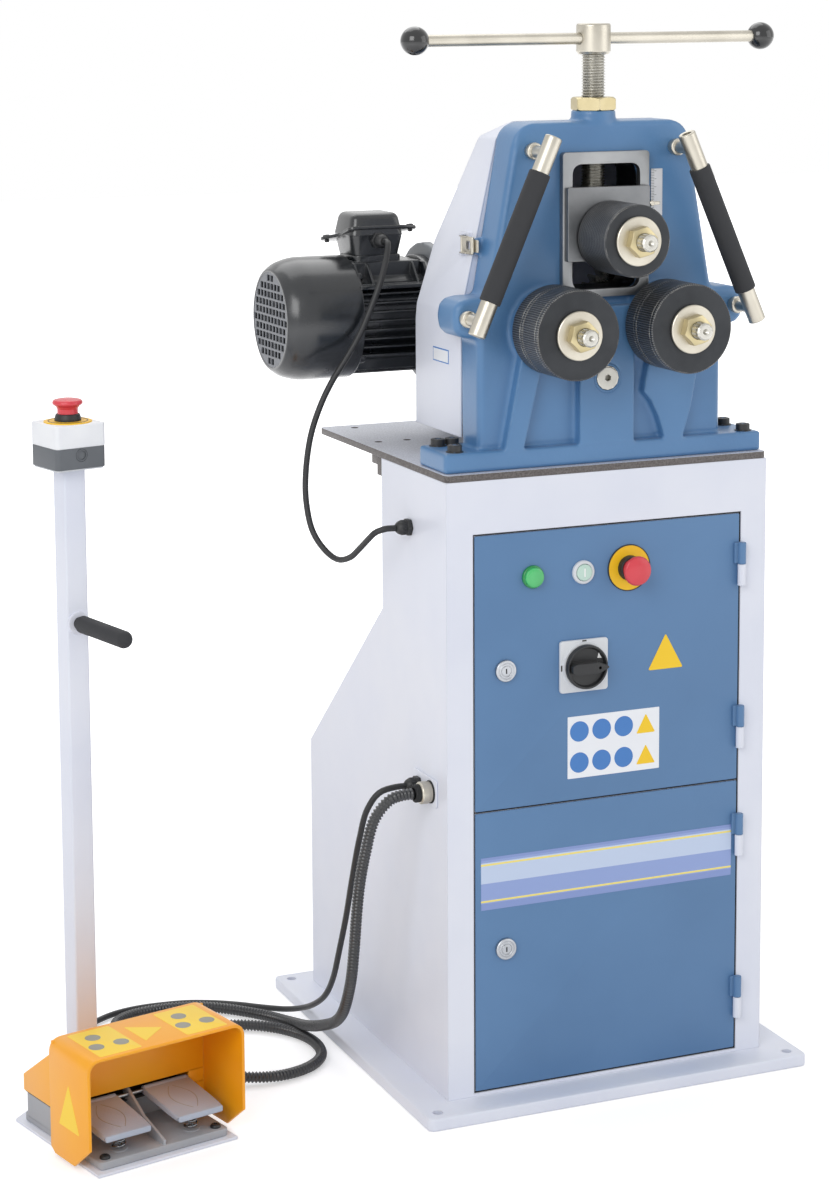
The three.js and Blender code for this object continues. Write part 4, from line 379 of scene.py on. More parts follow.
# Every finish with the name of its slot beside it; no piece is given its slot here
finishes = {
    "white": ("white_paint", painted(
        "White Powder Paint", "dde1ee", "e6e9f3", "c3c6cc", (0.32, 0.46), fine=650.0, depth=0.16,
        wear=0.12, dust=0.15)),
    "blue": ("blue_paint", painted(
        "Blue Powder Paint", "557ba5", "5c82ac", "7d9cbd", (0.4, 0.52), fine=900.0, depth=0.3, wear=0.3,
        dust=0.12)),
    "cast_blue": ("blue_paint", painted(
        "Blue Paint On Casting", "4b78a6", "5985b2", "86a5c6", (0.3, 0.46), fine=170.0, depth=0.5,
        coat=0.15, edge=0.003, wear=0.35, dust=0.2)),
    "steel": ("machined_steel", metal(
        "Milled Steel", "8e9092", "a3a4a5", (0.34, 0.5), stretch=(1, 1, 12), fine=260.0)),
    "bright": ("machined_steel", metal(
        "Turned Steel", "b4b2ab", "c8c6bf", (0.22, 0.36), stretch=(1, 1, 14), fine=300.0)),
    "deck": ("deck_steel", plate_finish()),
    "zinc": ("zinc_gold", metal(
        "Pale Gold Zinc", "b3a680", "c3b896", (0.28, 0.42), fine=160.0, depth=0.05)),
    "silver_zinc": ("bright_zinc", metal(
        "Satin Zinc", "b5b0a4", "c6c1b5", (0.3, 0.42), fine=300.0, depth=0.03)),
    "black_plastic": ("black_plastic", moulded("Black Moulding", "1a1b1d", "232426", (0.4, 0.55))),
    # The slight blue in this black is a painted sheen: it stands for the bluish reflection on the gloss
    "gloss_black": ("motor_paint", painted(
        "Gloss Black Enamel With Painted Blue Sheen", "14171b", "1b1f24", "3a3e44", (0.2, 0.32), fine=260.0, depth=0.3, coat=0.5,
        wear=0.25, dust=0.04)),
    "grip": ("grip_rubber", moulded(
        "Foam Rubber", "292a2d", "333437", (0.72, 0.88), fine=1500.0, depth=0.5)),
    "ball": ("gloss_black", moulded("Phenolic Ball", "101113", "17181a", (0.1, 0.2), depth=0.03, coat=0.5)),
    "red": ("red_plastic", moulded("Red Moulding", "cf2f3c", "dc4450", (0.3, 0.42), coat=0.2)),
    "yellow": ("yellow_plastic", moulded("Signal Yellow", "f2bc10", "f7c81e", (0.4, 0.5))),
    "grille": ("motor_paint", painted(
        "Grey Grille Paint", "6c6f75", "787b81", "a0a2a6", (0.35, 0.5), fine=300.0, depth=0.2, edge=0.0006,
        dust=0.1)),
    "box_grey": ("box_plastic", moulded("Dark Box Moulding", "585c61", "63676c", (0.45, 0.6))),
    "green": ("green_plastic", moulded("Green Lens", "1f9e4c", "46c06c", (0.18, 0.28), coat=0.5, dust=0.0)),
    "green_side": ("green_plastic", moulded(
        "Green Bezel", "0d7a3a", "118a44", (0.25, 0.35), coat=0.3, dust=0.0)),
    "pale": ("lamp_lens", moulded("Pale Button", "b5d3c6", "c6dfd4", (0.25, 0.35), coat=0.3, dust=0.0)),
    "mark": ("lamp_lens", moulded("White Mark", "f2f5f3", "ffffff", (0.35, 0.45), dust=0.0)),
    "pale_grey": ("box_plastic", moulded("Light Grey Moulding", "d3d6db", "dfe2e6", (0.38, 0.5))),
    "dark_grey": ("black_plastic", moulded("Dark Grey Moulding", "43464b", "4c4f54", (0.45, 0.6))),
    "cast_grey": ("cast_grey", painted(
        "Bare Grey Casting", "9a9ca2", "a9abb0", "c6c8cc", (0.45, 0.62), fine=240.0, depth=0.8,
        edge=0.0015, wear=0.5, dust=0.2)),
    "tread": ("cast_grey", painted(
        "Speckled Pedal Casting", "9da7b8", "b2bac8", "c6ccd6", (0.45, 0.6), fine=380.0, depth=0.9,
        edge=0.0015, wear=0.4, dust=0.05)),
    "slide": ("machined_steel", metal(
        "Ground Slide Steel", "707274", "88898b", (0.34, 0.5), stretch=(1, 1, 5), fine=260.0, depth=0.25)),
    "box_white": ("box_plastic", moulded("White Box Moulding", "e9ebf0", "f2f4f7", (0.4, 0.52), dust=0.03)),
    "spring": ("spring_steel", metal("Spring Wire", "8b8d90", "a0a2a5", (0.2, 0.32), fine=500.0)),
    "shield": ("shield_yellow", painted(
        "Orange Yellow Paint", "f7a30a", "fbaf14", "fbc35a", (0.32, 0.44), fine=420.0, depth=0.22,
        coat=0.08, wear=0.2, dust=0.02)),
    "cable": ("cable_sheath", moulded("Cable Sheath", "1c1d1f", "262729", (0.42, 0.55), fine=700.0)),
    "conduit": ("conduit_sheath", moulded(
        "Conduit Sheath", "232427", "303134", (0.26, 0.4), fine=700.0, coat=0.3)),
    "seal": ("black_plastic", moulded("Rubber Seal", "141517", "1a1b1d", (0.7, 0.85))),
    "drive": ("drive_paint", painted(
        "Grey Drive Paint", "7c8085", "888c91", "a5a8ac", (0.42, 0.58), fine=200.0, depth=0.6, wear=0.35,
        dust=0.25)),
    "left_roller": ("roller_steel", roller_finish("Left Roller Steel", LOWER_LEFT, 0.0547, 120.0)),
    "right_roller": ("roller_steel", roller_finish("Right Roller Steel", LOWER_RIGHT, 0.0547, 120.0)),
    "upper_roller": ("roller_steel", roller_finish("Upper Roller Steel", UPPER, 0.0442, 0.0)),
    "left_washer": ("zinc_gold", ringed_metal("Left Washer", "b6b0a2", "c7c2b5", (0.28, 0.42), LOWER_LEFT)),
    "right_washer": ("zinc_gold", ringed_metal(
        "Right Washer", "b6b0a2", "c7c2b5", (0.28, 0.42), LOWER_RIGHT)),
    "upper_washer": ("zinc_gold", ringed_metal("Upper Washer", "b6b0a2", "c7c2b5", (0.28, 0.42), UPPER)),
    # Dark steel for the inner faces of the head's window: painted shade, since the deep window lies in
    # shadow
    "window_shade": ("machined_steel", metal(
        "Painted Shade Window Steel", "2a2b2d", "3b3c3e", (0.3, 0.5), fine=260.0, depth=0.3)),
    "lock": ("bright_zinc", ringed_metal(
        "Lock Plating", "a6a9ae", "b7babe", (0.26, 0.4), (-0.1455, 0, 0.5655))),
    "plug": ("machined_steel", ringed_metal("Faced Plug", "a6a59f", "bab8b1", (0.3, 0.5), (0, 0, 0.9243))),
    "banner": ("blue_paint", banner_finish()),
    "scale": ("machined_steel", scale_finish()),
    "label_white": ("white_paint", pad_finish("White Label", "f1f3f7", "e8ebf1")),
    "label_blue": ("blue_paint", pad_finish("Blue Print", "3f78bd", "4780c4")),
    "label_yellow": ("yellow_plastic", pad_finish("Yellow Print", "f4c71d", "f7d02c")),
    "label_dark": ("black_plastic", pad_finish("Dark Print", "2c2a22", "35332a")),
    "label_grey": ("cast_grey", pad_finish("Grey Print", "8d8a7b", "97948a")),
    "patch_yellow": ("yellow_plastic", pad_finish("Bright Yellow Print", "fbcf1e", "fdd736")),
}


# Modelling steps


def mode(kind):
    bpy.ops.object.mode_set(mode=kind)


def clear():
    if bpy.context.object and bpy.context.object.mode != "OBJECT":
        mode("OBJECT")
    bpy.ops.object.select_all(action="DESELECT")


def only(piece):
    """Selects one piece and nothing else, in object mode."""
    clear()
    piece.select_set(True)
    bpy.context.view_layer.objects.active = piece


def choose(piece, kind, test):
    """Leaves the piece in edit mode with those vertices, edges or faces selected that pass the test."""
    only(piece)
    mode("EDIT")
    bpy.ops.mesh.select_mode(type=kind)
    bpy.ops.mesh.select_all(action="DESELECT")
    mode("OBJECT")
    mesh = piece.data
    for item in {"VERT": mesh.vertices, "EDGE": mesh.edges, "FACE": mesh.polygons}[kind]:
        item.select = bool(test(item))
    mode("EDIT")


def choose_all(piece):
    only(piece)
    mode("EDIT")
    bpy.ops.mesh.select_mode(type="VERT")
    bpy.ops.mesh.select_all(action="SELECT")


def remove(piece, kind, test):
    choose(piece, kind, test)
    bpy.ops.mesh.delete(type=kind)
    mode("OBJECT")


def ease_edges(piece, test, radius, segments):
    """Rounds those edges that pass the test."""
    choose(piece, "EDGE", test)
    bpy.ops.mesh.bevel(offset=radius * MM, segments=segments, affect="EDGES")
    mode("OBJECT")


def shrink(piece, test, share, centre):
    """Scales those vertices that pass the test, about a point."""
    choose(piece, "VERT", test)
    bpy.ops.transform.resize(value=share, center_override=centre)
    mode("OBJECT")


def apply(piece, kind, **settings):
    only(piece)
    step = piece.modifiers.new("Step", kind)
    for key, value in settings.items():
        setattr(step, key, value)
    bpy.ops.object.modifier_apply(modifier=step.name)


def bevel(piece, width, segments=3, angle=40):
    limit = math.radians(angle)
    apply(piece, "BEVEL", width=width * MM, segments=segments, limit_method="ANGLE", angle_limit=limit)


def tidy(piece):
    """Merges what lies together and turns every face outwards."""
    choose_all(piece)
    bpy.ops.mesh.remove_doubles(threshold=0.01 * MM)
    bpy.ops.mesh.normals_make_consistent(inside=False)
    mode("OBJECT")


def draw(name, points):
    """A line of edges through the points, drawn from one vertex. It is left in edit mode."""
    clear()
    bpy.ops.mesh.primitive_plane_add(size=MM, location=(0, 0, 0))
    piece = bpy.context.object
    piece.name = name
    mode("EDIT")
    bpy.ops.mesh.select_mode(type="VERT")
    bpy.ops.mesh.select_all(action="SELECT")
    bpy.ops.mesh.merge(type="CENTER")
    bpy.ops.transform.translate(value=points[0])
    for before, after in zip(points, points[1:]):
        bpy.ops.mesh.extrude_vertices_move(TRANSFORM_OT_translate={"value": after - before})
    bpy.ops.mesh.select_all(action="SELECT")
    return piece


def rounded(points, steps=5):
    """Rounds an outline's corners. A point is its two places and, where it is rounded, how far back."""
    line = []
    for i, (a, b, *ease) in enumerate(points):
        corner = Vector((a, b))
        if not ease or not ease[0]:
            line.append((a, b))
            continue
        before = Vector(points[i - 1][:2]) - corner
        after = Vector(points[(i + 1) % len(points)][:2]) - corner
        reach = min(ease[0], before.length * 0.49, after.length * 0.49)
        enter, leave = corner + before.normalized() * reach, corner + after.normalized() * reach
        for k in range(steps + 1):
            t = k / steps
            spot = enter * (1 - t) ** 2 + corner * 2 * t * (1 - t) + leave * t**2
            line.append((spot.x, spot.y))
    return line


def turned(name, profile, axis, centre, steps=64, to=place):
    """Spins a profile of radius and place along the axis. One that starts off the axis is a closed ring."""
    a, b = centre
    spot = {
        "x": lambda r, h: to(h, a + r, b),
        "y": lambda r, h: to(a + r, h, b),
        "z": lambda r, h: to(a + r, b, h),
    }[axis]
    if profile[0][0]:
        profile = [*profile, profile[0]]
    piece = draw(name, [spot(r, h) for r, h in rounded(profile)])
    bpy.ops.mesh.spin(steps=steps, angle=2 * math.pi, center=spot(0, 0), axis=AXES[axis])
    tidy(piece)
    return piece


def rod(name, radius, low, high, axis, centre, steps=64, to=place):
    """A plain cylinder between two places on its axis."""
    return turned(name, [(0, low), (radius, low), (radius, high), (0, high)], axis, centre, steps, to)


def slab(name, outline, axis, low, high, edge=0.0, to=place):
    """An outline pushed along an axis: (x, z) for y, (y, z) for x, (x, y) for z."""
    spot = {"x": lambda a, b: to(low, a, b), "y": lambda a, b: to(a, low, b), "z": lambda a,
            b: to(a, b, low)}[axis]
    line = [spot(a, b) for a, b in rounded(outline)]
    piece = draw(name, line + line[:1])
    bpy.ops.mesh.remove_doubles(threshold=0.01 * MM)
    bpy.ops.mesh.edge_face_add()
    bpy.ops.mesh.extrude_region_move(TRANSFORM_OT_translate={"value": AXES[axis] * (high - low) * MM})
    tidy(piece)
    if edge:
        bevel(piece, edge)
    return piece


def block(name, x, y, z, corner=0.0, along="z", edge=0.0, to=place):
    """A block between two places on each axis, with rounded corners along one axis and eased edges."""
    low, high = to(x[0], y[0], z[0]), to(x[1], y[1], z[1])
    clear()
    bpy.ops.mesh.primitive_cube_add(size=1, location=(low + high) / 2, scale=high - low)
    piece = bpy.context.object
    piece.name = name
    bpy.ops.object.transform_apply(location=True, rotation=True, scale=True)
    if corner:
        spots = [v.co.copy() for v in piece.data.vertices]

        def is_along(edge):
            first, second = edge.vertices
            return abs((spots[first] - spots[second]).normalized().dot(AXES[along])) > 0.99

        ease_edges(piece, is_along, corner, 6)
    if edge:
        bevel(piece, edge)
    return piece


def circle(radius, a, b, count=48, turn=0.0):
    angles = [turn + 2 * math.pi * i / count for i in range(count)]
    return [(a + radius * math.cos(t), b + radius * math.sin(t)) for t in angles]


def hexagon(flats, a, b, turn=0.0):
    return circle(flats / math.sqrt(3), a, b, 6, turn)


def join(first, *others):
    clear()
    for piece in (first, *others):
        piece.select_set(True)
    bpy.context.view_layer.objects.active = first
    bpy.ops.object.join()
    return first


def cut(piece, *tools, operation="DIFFERENCE"):
    """Cuts or fuses other pieces, which are used up."""
    for tool in tools:
        apply(piece, "BOOLEAN", object=tool, operation=operation, solver="EXACT")
        bpy.data.objects.remove(tool)
    return piece


def copy_solid(name, source):
    """A merged copy of the triangles of a solid."""
    piece = bpy.data.objects.new(name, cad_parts[source].data.copy())
    bpy.context.scene.collection.objects.link(piece)
    choose_all(piece)
    bpy.ops.mesh.remove_doubles(threshold=0.005 * MM)
    bpy.ops.mesh.dissolve_limited(angle_limit=math.radians(0.3))
    mode("OBJECT")
    return piece


def cast(piece, voxel, passes):
    """Melts joined shapes into one casting with soft edges and filleted corners."""
    apply(piece, "REMESH", mode="VOXEL", voxel_size=voxel * MM, adaptivity=0.0)
    apply(piece, "SMOOTH", factor=0.5, iterations=passes)


def stand(piece, matrix):
    """Puts a piece in its place and leaves the place in its mesh."""
    only(piece)
    piece.matrix_world = matrix
    bpy.ops.object.transform_apply(location=True, rotation=True, scale=True)
    return piece


def finish(piece, body, coat, *stands_for, to=place, smooth=35, name=None):
    """Smooths the piece, gives it its finish and its body, and hides the solids that it stands for."""
    if name:
        piece.name = name
    if to is own:
        stand(piece, CONSOLE)
    only(piece)
    bpy.ops.object.shade_smooth_by_angle(angle=math.radians(smooth))
    piece.data.materials.clear()
    piece.data.materials.append(finishes[coat][1])
    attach(piece, body)
    if stands_for:
        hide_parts(*stands_for)


# Cords


def console_point(x, y, z):
    return CONSOLE @ own(x, y, z)


# Each cord's points on the machine, then those by its end on the console, where it has any
ROUTES = {
    "motor_cable": [place(*p) for p in (
        (-185, 289.7, 1079.9), (-185, 278, 1079.9), (-191, 266, 1063.9), (-206, 252, 1032),
        (-222, 250, 995), (-238, 250, 962), (-256, 250, 934), (-276, 250, 905), (-292, 250, 875),
        (-306, 250, 836), (-314, 249, 784), (-315, 244, 748), (-311, 233, 714), (-301, 217, 692),
        (-291, 199, 682), (-283, 175, 688), (-278, 152, 704), (-274, 131, 720), (-270, 118, 730),
        (-259.3, 113, 734.3), (-245.6, 113, 734.3),
    )],
    "foot_conduit": [place(*p) for p in (
        (-250.6, 47, 407), (-265.3, 47, 407), (-283, 46, 403), (-302, 50, 380), (-312, 57, 336),
        (-316, 67, 294), (-318, 74, 250), (-318, 83, 204), (-318, 96, 155), (-316, 125, 108),
        (-311, 165, 78), (-305, 230, 48), (-304, 290, 26), (-309, 345, 13), (-325, 386, 9),
        (-347, 415, 8.5), (-372, 440, 8.5), (-400, 460, 8.5), (-432, 471, 8.5), (-467, 473, 8.5),
        (-500, 467, 8.5), (-525, 447, 8.5), (-529, 420, 8.5), (-508, 400, 8.5), (-470, 392, 8.5),
        (-430, 388, 8.5), (-390, 380, 8.5), (-355, 363, 8.5), (-325, 336, 8.5), (-306, 300, 8.5),
        (-301, 262, 8.5), (-310, 225, 8.5), (-334, 198, 8.5), (-368, 184, 8.5), (-404, 182, 10),
    )] + [console_point(*p) for p in (
        (254, 160, 16), (221, 160, 26), (204.3, 160, 26),
    )],
    "estop_cable": [place(*p) for p in (
        (-247.3, 84, 407), (-259, 84, 407), (-281, 85, 402), (-295, 92, 380), (-301, 104, 340),
        (-302, 128, 280), (-300, 156, 220), (-298, 186, 165), (-294, 218, 118), (-289, 258, 80),
        (-284, 310, 48), (-285, 360, 24), (-296, 400, 10), (-318, 430, 5.5), (-346, 454, 5.5),
        (-376, 474, 5.5), (-409, 489, 5.5), (-440, 495, 5.5), (-475, 497, 5.5), (-510, 491, 5.5),
        (-540, 476, 5.5), (-572, 450, 5.5), (-605, 410, 5.5), (-630, 362, 6), (-645, 318, 10),
    )] + [console_point(*p) for p in (
        (102, 283, 19), (102, 265, 24), (102, 253.3, 24),
    )],
}


def smooth_line(points, step):
    """Even points, a step apart, along the smooth curve through a cord's points."""
    points = [points[0] * 2 - points[1], *points, points[-1] * 2 - points[-2]]
    dense = []
    for a, b, c, d in zip(points, points[1:], points[2:], points[3:]):
        gaps = [max((q - p).length ** 0.5, 1e-6) for p, q in ((a, b), (b, c), (c, d))]
        leave = ((b - a) / gaps[0] - (c - a) / (gaps[0] + gaps[1]) + (c - b) / gaps[1]) * gaps[1]
        arrive = ((c - b) / gaps[1] - (d - b) / (gaps[1] + gaps[2]) + (d - c) / gaps[2]) * gaps[1]
        for k in range(60):
            t = k / 60
            dense.append(
                b * (2 * t**3 - 3 * t**2 + 1) + leave * (t**3 - 2 * t**2 + t)
                + c * (3 * t**2 - 2 * t**3) + arrive * (t**3 - t**2)
            )
    dense.append(points[-2])
    total = sum((q - p).length for p, q in zip(dense, dense[1:]))
    count = max(2, round(total / step))
    line, walked, target, i = [dense[0]], 0.0, total / count, 1
    while i < len(dense) and len(line) < count:
        leg = (dense[i] - dense[i - 1]).length
        if walked + leg >= target * len(line):
            line.append(dense[i - 1].lerp(dense[i], (target * len(line) - walked) / leg))
        else:
            walked += leg
            i += 1
    return [*line, dense[-1]], total


def make_wire(name, points, radius, resolution, swell=(1.0,)):
    """A round wire through the points. swell gives shares of the radius that follow each other along it."""
    curve = bpy.data.curves.new(name, "CURVE")
    curve.dimensions, curve.use_fill_caps = "3D", True
    curve.bevel_depth, curve.bevel_resolution = radius, resolution
    spline = curve.splines.new("POLY")
    spline.points.add(len(points) - 1)
    spline.use_smooth = True
    for i, (spot, knot) in enumerate(zip(points, spline.points)):
        knot.co = (*spot, 1)
        knot.radius = swell[i % len(swell)]
    wire = bpy.data.objects.new(name, curve)
    bpy.context.scene.collection.objects.link(wire)
    return wire


def lay_cord(name, radius, step, coat, swell=(1.0,)):
    line, total = smooth_line(ROUTES[name], step)
    cord = make_wire(name + "_run", line, radius, 4, swell)
    cord.data.materials.append(finishes[coat][1])
    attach(cord, "frame")
    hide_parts(name)


lay_cord("motor_cable", 0.004, 0.006, "cable")
lay_cord("foot_conduit", 0.0075, 0.00118, "conduit", (0.76, 0.8, 1.0, 1.0))
lay_cord("estop_cable", 0.004, 0.006, "cable")

# Finishes of the solids that stay in view

for name, coat in {
    "cabinet": "white", "upper_lock": "lock", "lower_lock": "lock", "left_shaft": "bright",
    "right_shaft": "bright", "upper_shaft": "bright", "pinion_shaft": "bright",
}.items():
    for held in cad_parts[name].material_slots:
        held.material = finishes[coat][1]


# Base plate and cabinet


def make_base():
    plate = block("base_slab", (-271, 271), (-47, 513), (0, 16), corner=9, edge=2.2)
    drills = [rod("drill", 6.5, -2, 18, "z", (x, y), 32) for x in (-251, 251) for y in (-27, 493)]
    finish(cut(plate, join(*drills)), "frame", "white", "base_plate")


def make_deck():
    """The rolled plate with its drilled holes, and the stepped lugs that carry it behind the cabinet."""
    plate = block("deck_slab", (-225, 225), (0, 427), (808.1, 817), corner=7, edge=0.7)
    spots = [(side * x, y) for side in (-1, 1) for x, y in ((200, 278), (159, 278), (184, 402))]
    cut(plate, join(*[rod("drill", 5.2, 800, 825, "z", spot, 32) for spot in spots]))
    lugs = []
    for side in (-1, 1):
        x = sorted((side * 213, side * 224.6))
        lugs.append(block("lug", x, (207.3, 241), (797, 808.4), edge=0.8))
        lugs.append(block("lug", x, (207.3, 223), (784, 798), edge=0.8))
    finish(join(plate, *lugs), "frame", "deck", "machine_plate")


def make_hinges():
    pin = (187.75, -5.3)
    for z, door in ((93.5, "lower_door"), (314, "lower_door"), (458.5, "upper_door"),
                    (673.5, "upper_door")):
        for low, side, body, coat in ((z, -1, door, "blue"), (z - 28.3, 1, "frame", "white")):
            profile = [(0, low), (5.3, low, 0.8), (5.3, low + 28, 0.8), (0, low + 28)]
            barrel = turned("hinge_barrel", profile, "z", pin, 32)
            x = sorted((pin[0], pin[0] + side * 9))
            leaf = block("hinge_leaf", x, (-3.4, 0.2), (low + 0.5, low + 27.5), edge=0.5)
            finish(join(barrel, leaf), body, coat,
                   name=f"{'door' if side < 0 else 'frame'}_hinge_{round(z)}")


def make_doors():
    for door, low, high, rib_low, rib_high in (
        ("lower_door", 22.5, 385, 52.5, 222.5), ("upper_door", 387.5, 738.5, 407.5, 552.5),
    ):
        panel = block(door + "_panel", (-186.5, 186.5), (0, 2.7), (low, high), corner=2.0, along="y",
                      edge=0.9)
        finish(panel, door, "blue", door)
        rib = block(door + "_stiffener", (95, 155), (2.5, 10), (rib_low, rib_high), corner=6, along="y",
                    edge=1.2)
        finish(rib, door, "blue")
    # Black strips fill the gaps round and between the doors: painted shade for the shadowed gaps, in the
    # dark rubber finish
    strips = [
        block("seal", x, (1.7, 3.1), z, edge=0.3)
        for x, z in (
            ((-188.9, -187.1), (20.6, 740.4)), ((187.1, 188.9), (20.6, 740.4)),
            ((-188.9, 188.9), (20.4, 22.1)), ((-188.9, 188.9), (739, 740.8)),
            ((-188.9, 188.9), (385.6, 387)),
        )
    ]
    finish(join(*strips), "frame", "seal")


make_base()
make_deck()
make_hinges()
make_doors()


# Control panel


def turn_pieces(axis, rows, to=place):
    """Turned pieces, from rows of name, centre, steps, profile, body, finish and solids stood for."""
    for name, centre, steps, profile, *rest in rows:
        finish(turned(name, profile, axis, centre, steps, to), *rest, to=to)


def mushroom(foot, seat, way):
    """A stop button's profile, from the foot of its stem and over its seat."""
    rim = (
        (12.9, 15.8, 0.4), (14.5, 19.3, 1), (18.4, 21.8, 1.2), (19, 24, 0.8), (17.6, 27.2, 2.2),
        (9, 29.1, 4), (0, 29.2),
    )
    return [(0, foot), (12.9, foot)] + [(radius, seat + way * rise, *ease) for radius, rise, *ease in rim]


def make_controls():
    row = 681.5
    lamp, start, stop = (-107.6, row), (-37.8, row), (27, row)
    door = "upper_door"
    turn_pieces("y", (
        ("lamp_bezel", lamp, 64, [(11, 0), (14.6, 0), (14.6, -3.2, 0.8), (13, -4.2, 0.4), (11, -4.2)], door,
         "green_side"),
        ("lamp_lens", lamp, 64, [(0, -0.4), (12.6, -0.4), (12.6, -8.2, 1.6), (9, -9, 1), (0, -9.2)],
         door, "green", "pilot_lamp"),
        ("start_ring", start, 64, [(11.1, 0), (15, 0), (15, -3.4, 0.8), (13.4, -4.6, 0.5), (11.1, -4.6)],
         door, "pale_grey"),
        ("start_cap", start, 64, [(0, 19), (7, 19), (7, 2.5), (10.6, 2.5), (10.6, -5.6, 0.6),
                                  (9.4, -6.2, 0.4), (0, -6.3)],
         "start_button", "pale", "start_button"),
    ))
    bar = block("start_bar", (-38.7, -36.9), (-6.55, -5.9), (row - 5.5, row + 5.5), corner=0.6, along="y")
    finish(bar, "start_button", "mark")
    turn_pieces("y", (
        ("stop_disc", stop, 72, [(13.4, -0.3), (29.4, -0.3), (29.4, -1.4, 0.4), (13.4, -1.7)],
         door, "yellow", "estop_collar"),
        ("stop_rim", stop, 72, [(28.7, -0.2), (30, -0.2), (30, -1.7, 0.4), (28.7, -1.9, 0.4)], door,
         "black_plastic"),
        ("stop_collar", stop, 64, [(13.4, -1.2), (16.2, -1.2), (16.2, -5, 0.5), (15, -10.2, 1),
                                   (13.4, -10.5)],
         door, "black_plastic"),
        ("stop_mushroom", stop, 72, mushroom(19, -0.2, -1), "estop_mushroom", "red", "estop_mushroom"),
    ))


def make_switch():
    x, z = centre = (-37.7, 562)
    plate = block("switch_square", (x - 33.5, x + 33.5), (-5, -0.2), (z - 33.5, z + 33.5), corner=4,
                  along="y", edge=1)
    ring = turned("switch_ring", [(24, -4), (30.5, -4), (30.5, -7.9, 0.7), (24, -7.9)], "y", centre, 96)
    cut(plate, rod("bore", 6.9, -12, 2, "y", centre, 32))
    finish(join(plate, ring), "upper_door", "pale_grey", "switch_plate")
    marks = [
        block("mark", (x - 3, x + 3), (-5.25, -4.8), (z + 31.2, z + 33), edge=0.1),
        block("mark", (x - 32.8, x - 31), (-5.25, -4.8), (z - 4.5, z + 3), edge=0.1),
    ]
    finish(join(*marks), "upper_door", "label_dark", name="switch_marks")
    dial = turned("switch_dial", [
        (0, -0.6), (6.4, -0.6), (6.4, -8.4), (28.2, -8.4, 0.3), (28.5, -12.4, 0.8), (27.9, -16.2, 0.8),
        (25.4, -16.2, 0.8), (24.2, -10.8, 1.4), (0, -10.2),
    ], "y", centre, 96)
    grip = slab("switch_grip", [
        (x - 24.6, z - 4.6, 2), (x - 20, z - 7, 3), (x + 12, z - 7, 3), (x + 25.6, z - 1.2, 1.4),
        (x + 25.6, z + 1.2, 1.4), (x + 12, z + 7, 3), (x - 20, z + 7, 3), (x - 24.6, z + 4.6, 2),
    ], "y", -24.2, -10, edge=1.8)
    cut(grip, rod("hole", 2, -26, -18, "y", (x + 13, z), 24))
    finish(join(dial, grip), "switch_knob", "black_plastic", "switch_knob")
    outline = [(x + 15.4, z + 10), (x + 21.4, z + 9.2), (x + 17.2, z + 16.4)]
    arrow = slab("switch_arrow", outline, "y", -11.3, -10, edge=0.05)
    finish(arrow, "switch_knob", "mark")


def make_locks():
    x = -145.5
    for name, z in (("upper_lock", 565.5), ("lower_lock", 205.5)):
        ring = turned(name + "_face", [
            (7.2, -0.4), (14, -0.4), (14, -3.9, 0.9), (12.9, -4.9, 0.5), (10.8, -4.9, 0.3),
            (10.4, -4.3, 0.1), (9.6, -4.3, 0.1), (9.2, -4.9, 0.3), (7.6, -4.9, 0.2), (7.2, -4.5, 0.1),
        ], "y", (x, z), 96)
        finish(ring, name, "lock")
        profile = [(0, -3), (6.4, -3), (6.4, -4.5, 0.4), (5.6, -4.7, 0.2), (0, -4.6)]
        barrel = turned("barrel", profile, "y", (x, z), 48)
        slot = block("slot", (x - 0.9, x + 0.9), (-7, -4.05), (z - 3.2, z + 3.2))
        finish(cut(barrel, slot), name, "lock")
        # The dark plate at the bottom of the shallow key slot is painted shade for the keyway's depth
        dark = block("keyway", (x - 1.1, x + 1.1), (-4.35, -3.9), (z - 3.4, z + 3.4), edge=0.05)
        finish(dark, name, "seal")


def make_labels():
    """Plain patches and shapes with nothing written or drawn on them."""
    shape = slab("door_patch", [(55.5, 545, 3), (105.5, 545, 3), (80.5, 591, 3)], "y", -0.3, 0.2)
    finish(shape, "upper_door", "label_yellow")
    card = block("door_card", (-58.5, 72), (-0.25, 0.2), (415.5, 496), corner=1, along="y")
    finish(card, "upper_door", "label_white")
    discs = [slab("disc", circle(13.2, x, z), "y", -0.4, 0.0) for x in (-42, -10.5, 21)
             for z in (435.5, 476)]
    finish(join(*discs), "upper_door", "label_blue", name="card_discs")
    shapes = [slab("shape", [(39, z, 2), (66, z, 2), (52.5, z + 25, 2)], "y", -0.4, 0.0)
              for z in (423.5, 464)]
    finish(join(*shapes), "upper_door", "label_yellow", name="card_shapes")
    strip = block("door_strip", (-179, 179), (-0.3, 0.2), (259, 327), corner=0.8, along="y")
    finish(strip, "lower_door", "banner")


make_controls()
make_switch()
make_locks()
make_labels()


# Head casting and its fittings


